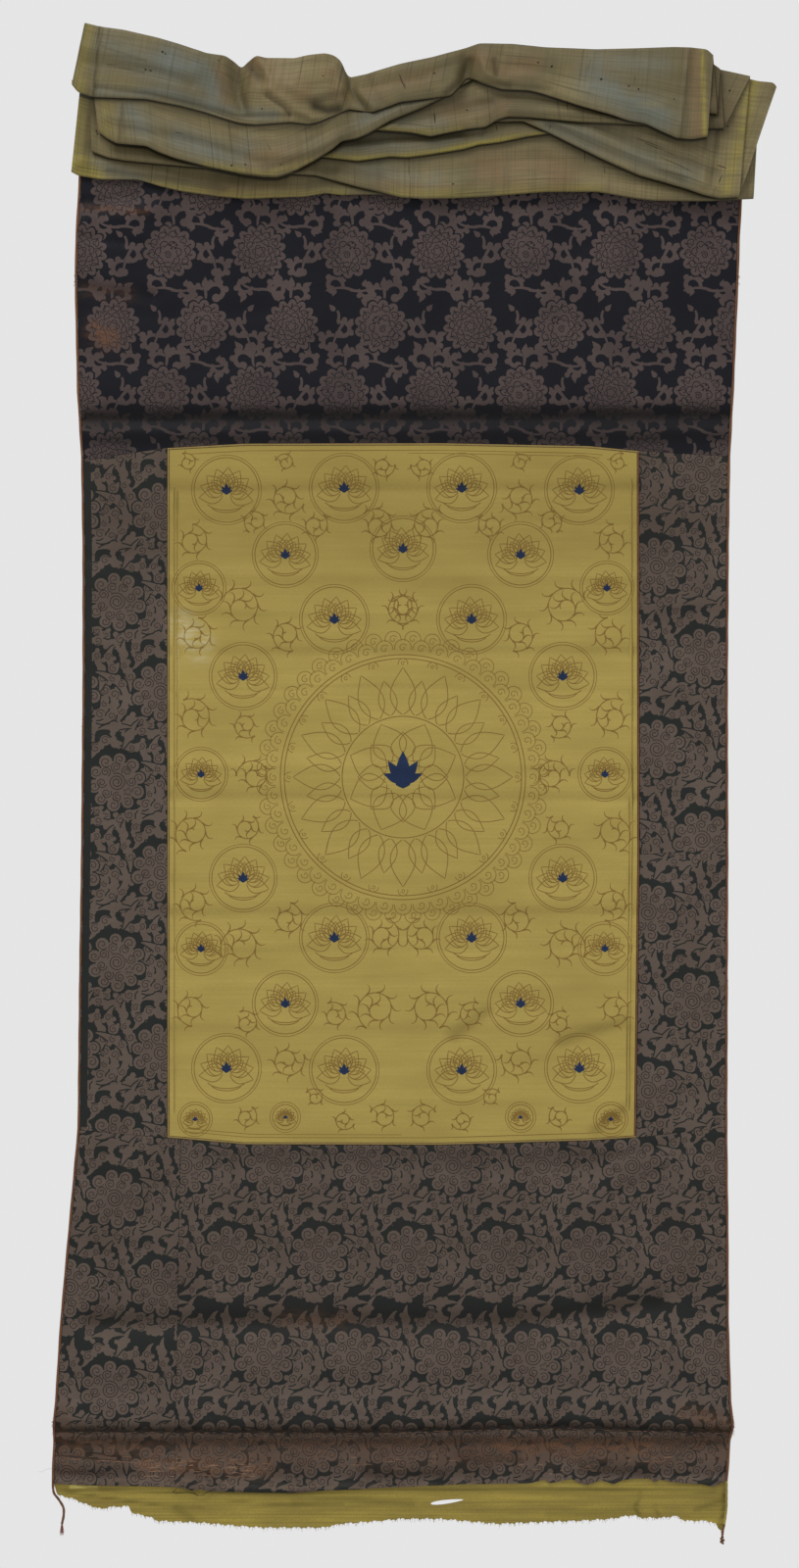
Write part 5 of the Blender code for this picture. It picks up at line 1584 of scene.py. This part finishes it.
SHOWN = np.concatenate([np.arange(0.02, 0.46, 0.0235), [0.55, 0.68, 0.84]])  # rows of a run that shows below
add_row(0, 0, SEWN_DEPTH)
add_row(0, 0, VEIL_DEPTHS[0], -8)
for run, depth in enumerate(VEIL_DEPTHS):
    rows = SHOWN if run % 2 else (0.25, 0.5, 0.75)
    for share in rows if run < FREE_EDGE - 1 else np.linspace(0.028, 0.972, 35):
        add_row(run, share, depth)
    if run == FREE_EDGE - 1:
        break
    half = (VEIL_DEPTHS[run + 1] - depth) / 2
    bend = half if run % 2 == 0 else -half
    for at in np.radians([20, 65, 115, 160]):
        add_row(run + 1, 0, depth + half - half * np.cos(at), bend * (1 - np.sin(at)))
for depth, lift in ((VEIL_DEPTHS[-1], 0.4), (VEIL_DEPTHS[-1] - 0.4, 0.0), (VEIL_DEPTHS[-1] - 0.9, 0.5),
                    (VEIL_DEPTHS[-1] - 1.0, 5.0)):
    add_row(FREE_EDGE - 1, 1, depth, lift)
veil_grid = np.array(veil_rows)
high, wide = veil_grid.shape[:2]
index = np.arange(high * wide).reshape(high, wide)
veil_points = veil_grid.reshape(-1, 3).tolist()
veil_faces = np.stack([index[:-1, :-1].ravel(), index[:-1, 1:].ravel(), index[1:, 1:].ravel(),
                       index[1:, :-1].ravel()], 1).tolist()
veil_skin = BVHTree.FromPolygons(veil_points, veil_faces)
cloth_faces = len(veil_faces)
IN_FRONT, HOLE_LIFT = -200, 0.12  # y from which a hole is cast onto the silk, and how far it lies in front of it
VEIL_HOLES = [  # x, z, length, width, angle: worm holes and torn or dark threads
    (-243, 43, 3.4, 2.2, 140), (-240, 41, 2.4, 1.4, 110), (-260, 25, 2.6, 1.8, 20), (-255, 24, 3.2, 1.6, 170),
    (-142, -15, 1.8, 1.7, 0), (-159, -71, 2.2, 1.8, 0), (-123, -71, 2.2, 1.5, 20), (-173, -72, 2.6, 2.0, 40),
    (33, 21, 3.2, 1.6, 150), (138, 32, 2.4, 1.6, 160), (152, 28, 2.8, 2.2, 60), (202, 15, 3.4, 2.2, 30),
    (230, 8, 2.6, 1.6, 0), (240, 5, 2.4, 1.5, 120), (276, -5, 1.6, 1.4, 0), (333, 5, 2.4, 2.2, 0),
    (52, -89, 2.6, 1.8, 0), (-311, -35, 3.2, 1.4, 80), (-310, -38, 2.6, 1.6, 60), (331, -31, 2.6, 1.2, 20),
    (190, 30, 12, 0.5, 75), (236, 14, 10, 0.5, 82), (0, 13, 16, 0.9, 112), (3, 8, 7, 0.6, 95),
    (-300, 30, 60, 0.5, 168), (-152, 25, 2.0, 1.2, 30), (-80, 18, 1.6, 1.1, 0), (-186, 34, 2.2, 1.2, 150),
    (66, -15, 3.0, 1.4, 10), (168, -12, 10, 0.6, 95), (33, -22, 16, 0.8, 93), (186, -58, 22, 0.6, 92),
    (206, -72, 14, 0.6, 97), (7, -70, 22, 0.5, 90), (-227, -39, 9, 0.5, 170), (-135, -53, 9, 0.6, 115),
    (325, -72, 12, 0.8, 160), (322, -88, 20, 0.7, 65), (96, -30, 14, 0.6, 100), (252, -48, 34, 0.6, 160),
    (262, -54, 40, 0.6, 158), (280, -70, 38, 0.6, 156), (150, -34, 9, 0.6, 70),
]
draw = np.random.default_rng(3)
for x, z, length, width, angle in VEIL_HOLES:
    corners, count = [], 9 if length < 5 else 16
    at, rough = 2 * np.pi * np.arange(count) / count, draw.uniform(0.75, 1.15, count)
    rim = np.stack([length / 2 * np.cos(at) * rough, width / 2 * np.sin(at) * rough], 1)
    for across, up in turned_to(rim, x, z, angle):
        spot = veil_skin.ray_cast((across, IN_FRONT, up), (0, 1, 0))[0]
        if spot is not None:
            corners.append([spot.x, spot.y - HOLE_LIFT, spot.z])
    if len(corners) == count:
        veil_faces.append(list(range(len(veil_points), len(veil_points) + count))[::-1])
        veil_points += corners

# Thin plain-woven silk, yellow-olive. The eye sees a grid of thicker threads, dark ones among them, grey-blue and brown
# patches, yellower hems, painted shade in the creases, valleys and pocket, and dark lines of painted shadow below each
# fold's edge. The real threads, about 0.2 mm apart, are too fine to show, so the grid is drawn 1.6 to 1.8 mm apart.
VEIL_SILK = bpy.data.materials.new("olive veil silk")
VEIL_SILK.use_nodes = True
tree = VEIL_SILK.node_tree
spot = node(tree, "TexCoord").outputs["Object"]
threads = node(tree, "Attribute", attribute_name="threads").outputs["Vector"]
layers = [
    (grain(tree, spot, (11, 11, 11), 5.0, 0.38, 0.62), 1.0, "#5a5137"),
    ("blue", grain(tree, spot, (26, 26, 26), 3.0, 0.2, 0.5), "#5a5f58"),
    ("brown", grain(tree, spot, (22, 22, 22), 3.0, 0.2, 0.55), "#6b5338"),
    (grain(tree, spot, (16, 16, 40), 4.0, 0.55, 0.75), 0.35, "#7e7350"),
    ("yellow", grain(tree, spot, (30, 30, 90), 2.0, 0.15, 0.5), "#847836"),
    (grain(tree, threads, (14, 620, 1), 2.0, 0.42, 0.72), 0.5, "#48422b"),
    (grain(tree, threads, (560, 12, 1), 2.0, 0.46, 0.74), 0.5, "#49442e"),
    (grain(tree, threads, (330, 5, 1), 1.0, 0.66, 0.72), 0.6, "#38321f"),
    (grain(tree, threads, (7, 240, 1), 1.0, 0.67, 0.74), 0.5, "#3c3622"),
    # painted shade and darkening from the table of dark places
    ("dark", 1.0, "#2f2917"),
]
# Painted shadow below the edges of the layers in front, darkest within 2.2 mm, and painted shade along each layer's own
# lower edge, where it turns under.
for edge, far, near, strength, colour in (("below", 9.0, 0.0, 0.4, "#2f2917"), ("below", 2.2, 0.4, 0.85, "#1c180c"),
                                          ("above", 1.6, 0.2, 0.45, "#3a331c")):
    distance = node(tree, "Attribute", attribute_name=edge).outputs["Fac"]
    close = node(tree, "MapRange", {"Value": distance, "From Min": far, "From Max": near}).outputs[0]
    layers.append((close, strength, colour))
silk(VEIL_SILK, laid_over(tree, linear("#6f6344"), layers), grain(tree, threads, (1100, 1100, 1), 1.0, 0.3, 0.7),
     0.35, 0.55, 0.2)
# Gaps and dirt. The eye sees small dark brown holes and a few dark threads.
HOLE_DARK = woven("dark worm holes and threads", "#2b2618", "#1c180e", soiled_and_shaded="#14110a", worn="#4a4330")
veil = piece("silk_veil", veil_points, veil_faces, VEIL_SILK, HOLE_DARK)
veil.data.polygons.foreach_set("material_index", [0] * cloth_faces + [1] * (len(veil_faces) - cloth_faces))
extra = len(veil_points) - high * wide
for column, name in enumerate(("dark", "blue", "brown", "yellow", "below", "above")):
    values = np.array([row[column] for row in veil_marks]).ravel()
    keep(veil, name, np.concatenate([values, np.zeros(extra)]))
along = np.cumsum(np.concatenate([[0], np.linalg.norm(np.diff(veil_grid, axis=0), axis=2).mean(1)]))
threads_at = np.stack(np.broadcast_arrays(VEIL_ACROSS * VEIL_WIDE, along[:, None], 0.0), -1) * MM
kept = veil.data.attributes.new("threads", "FLOAT_VECTOR", "POINT")
kept.data.foreach_set("vector", np.concatenate([threads_at.ravel(), np.zeros(3 * extra)]).astype(np.float32))
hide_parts("veil")
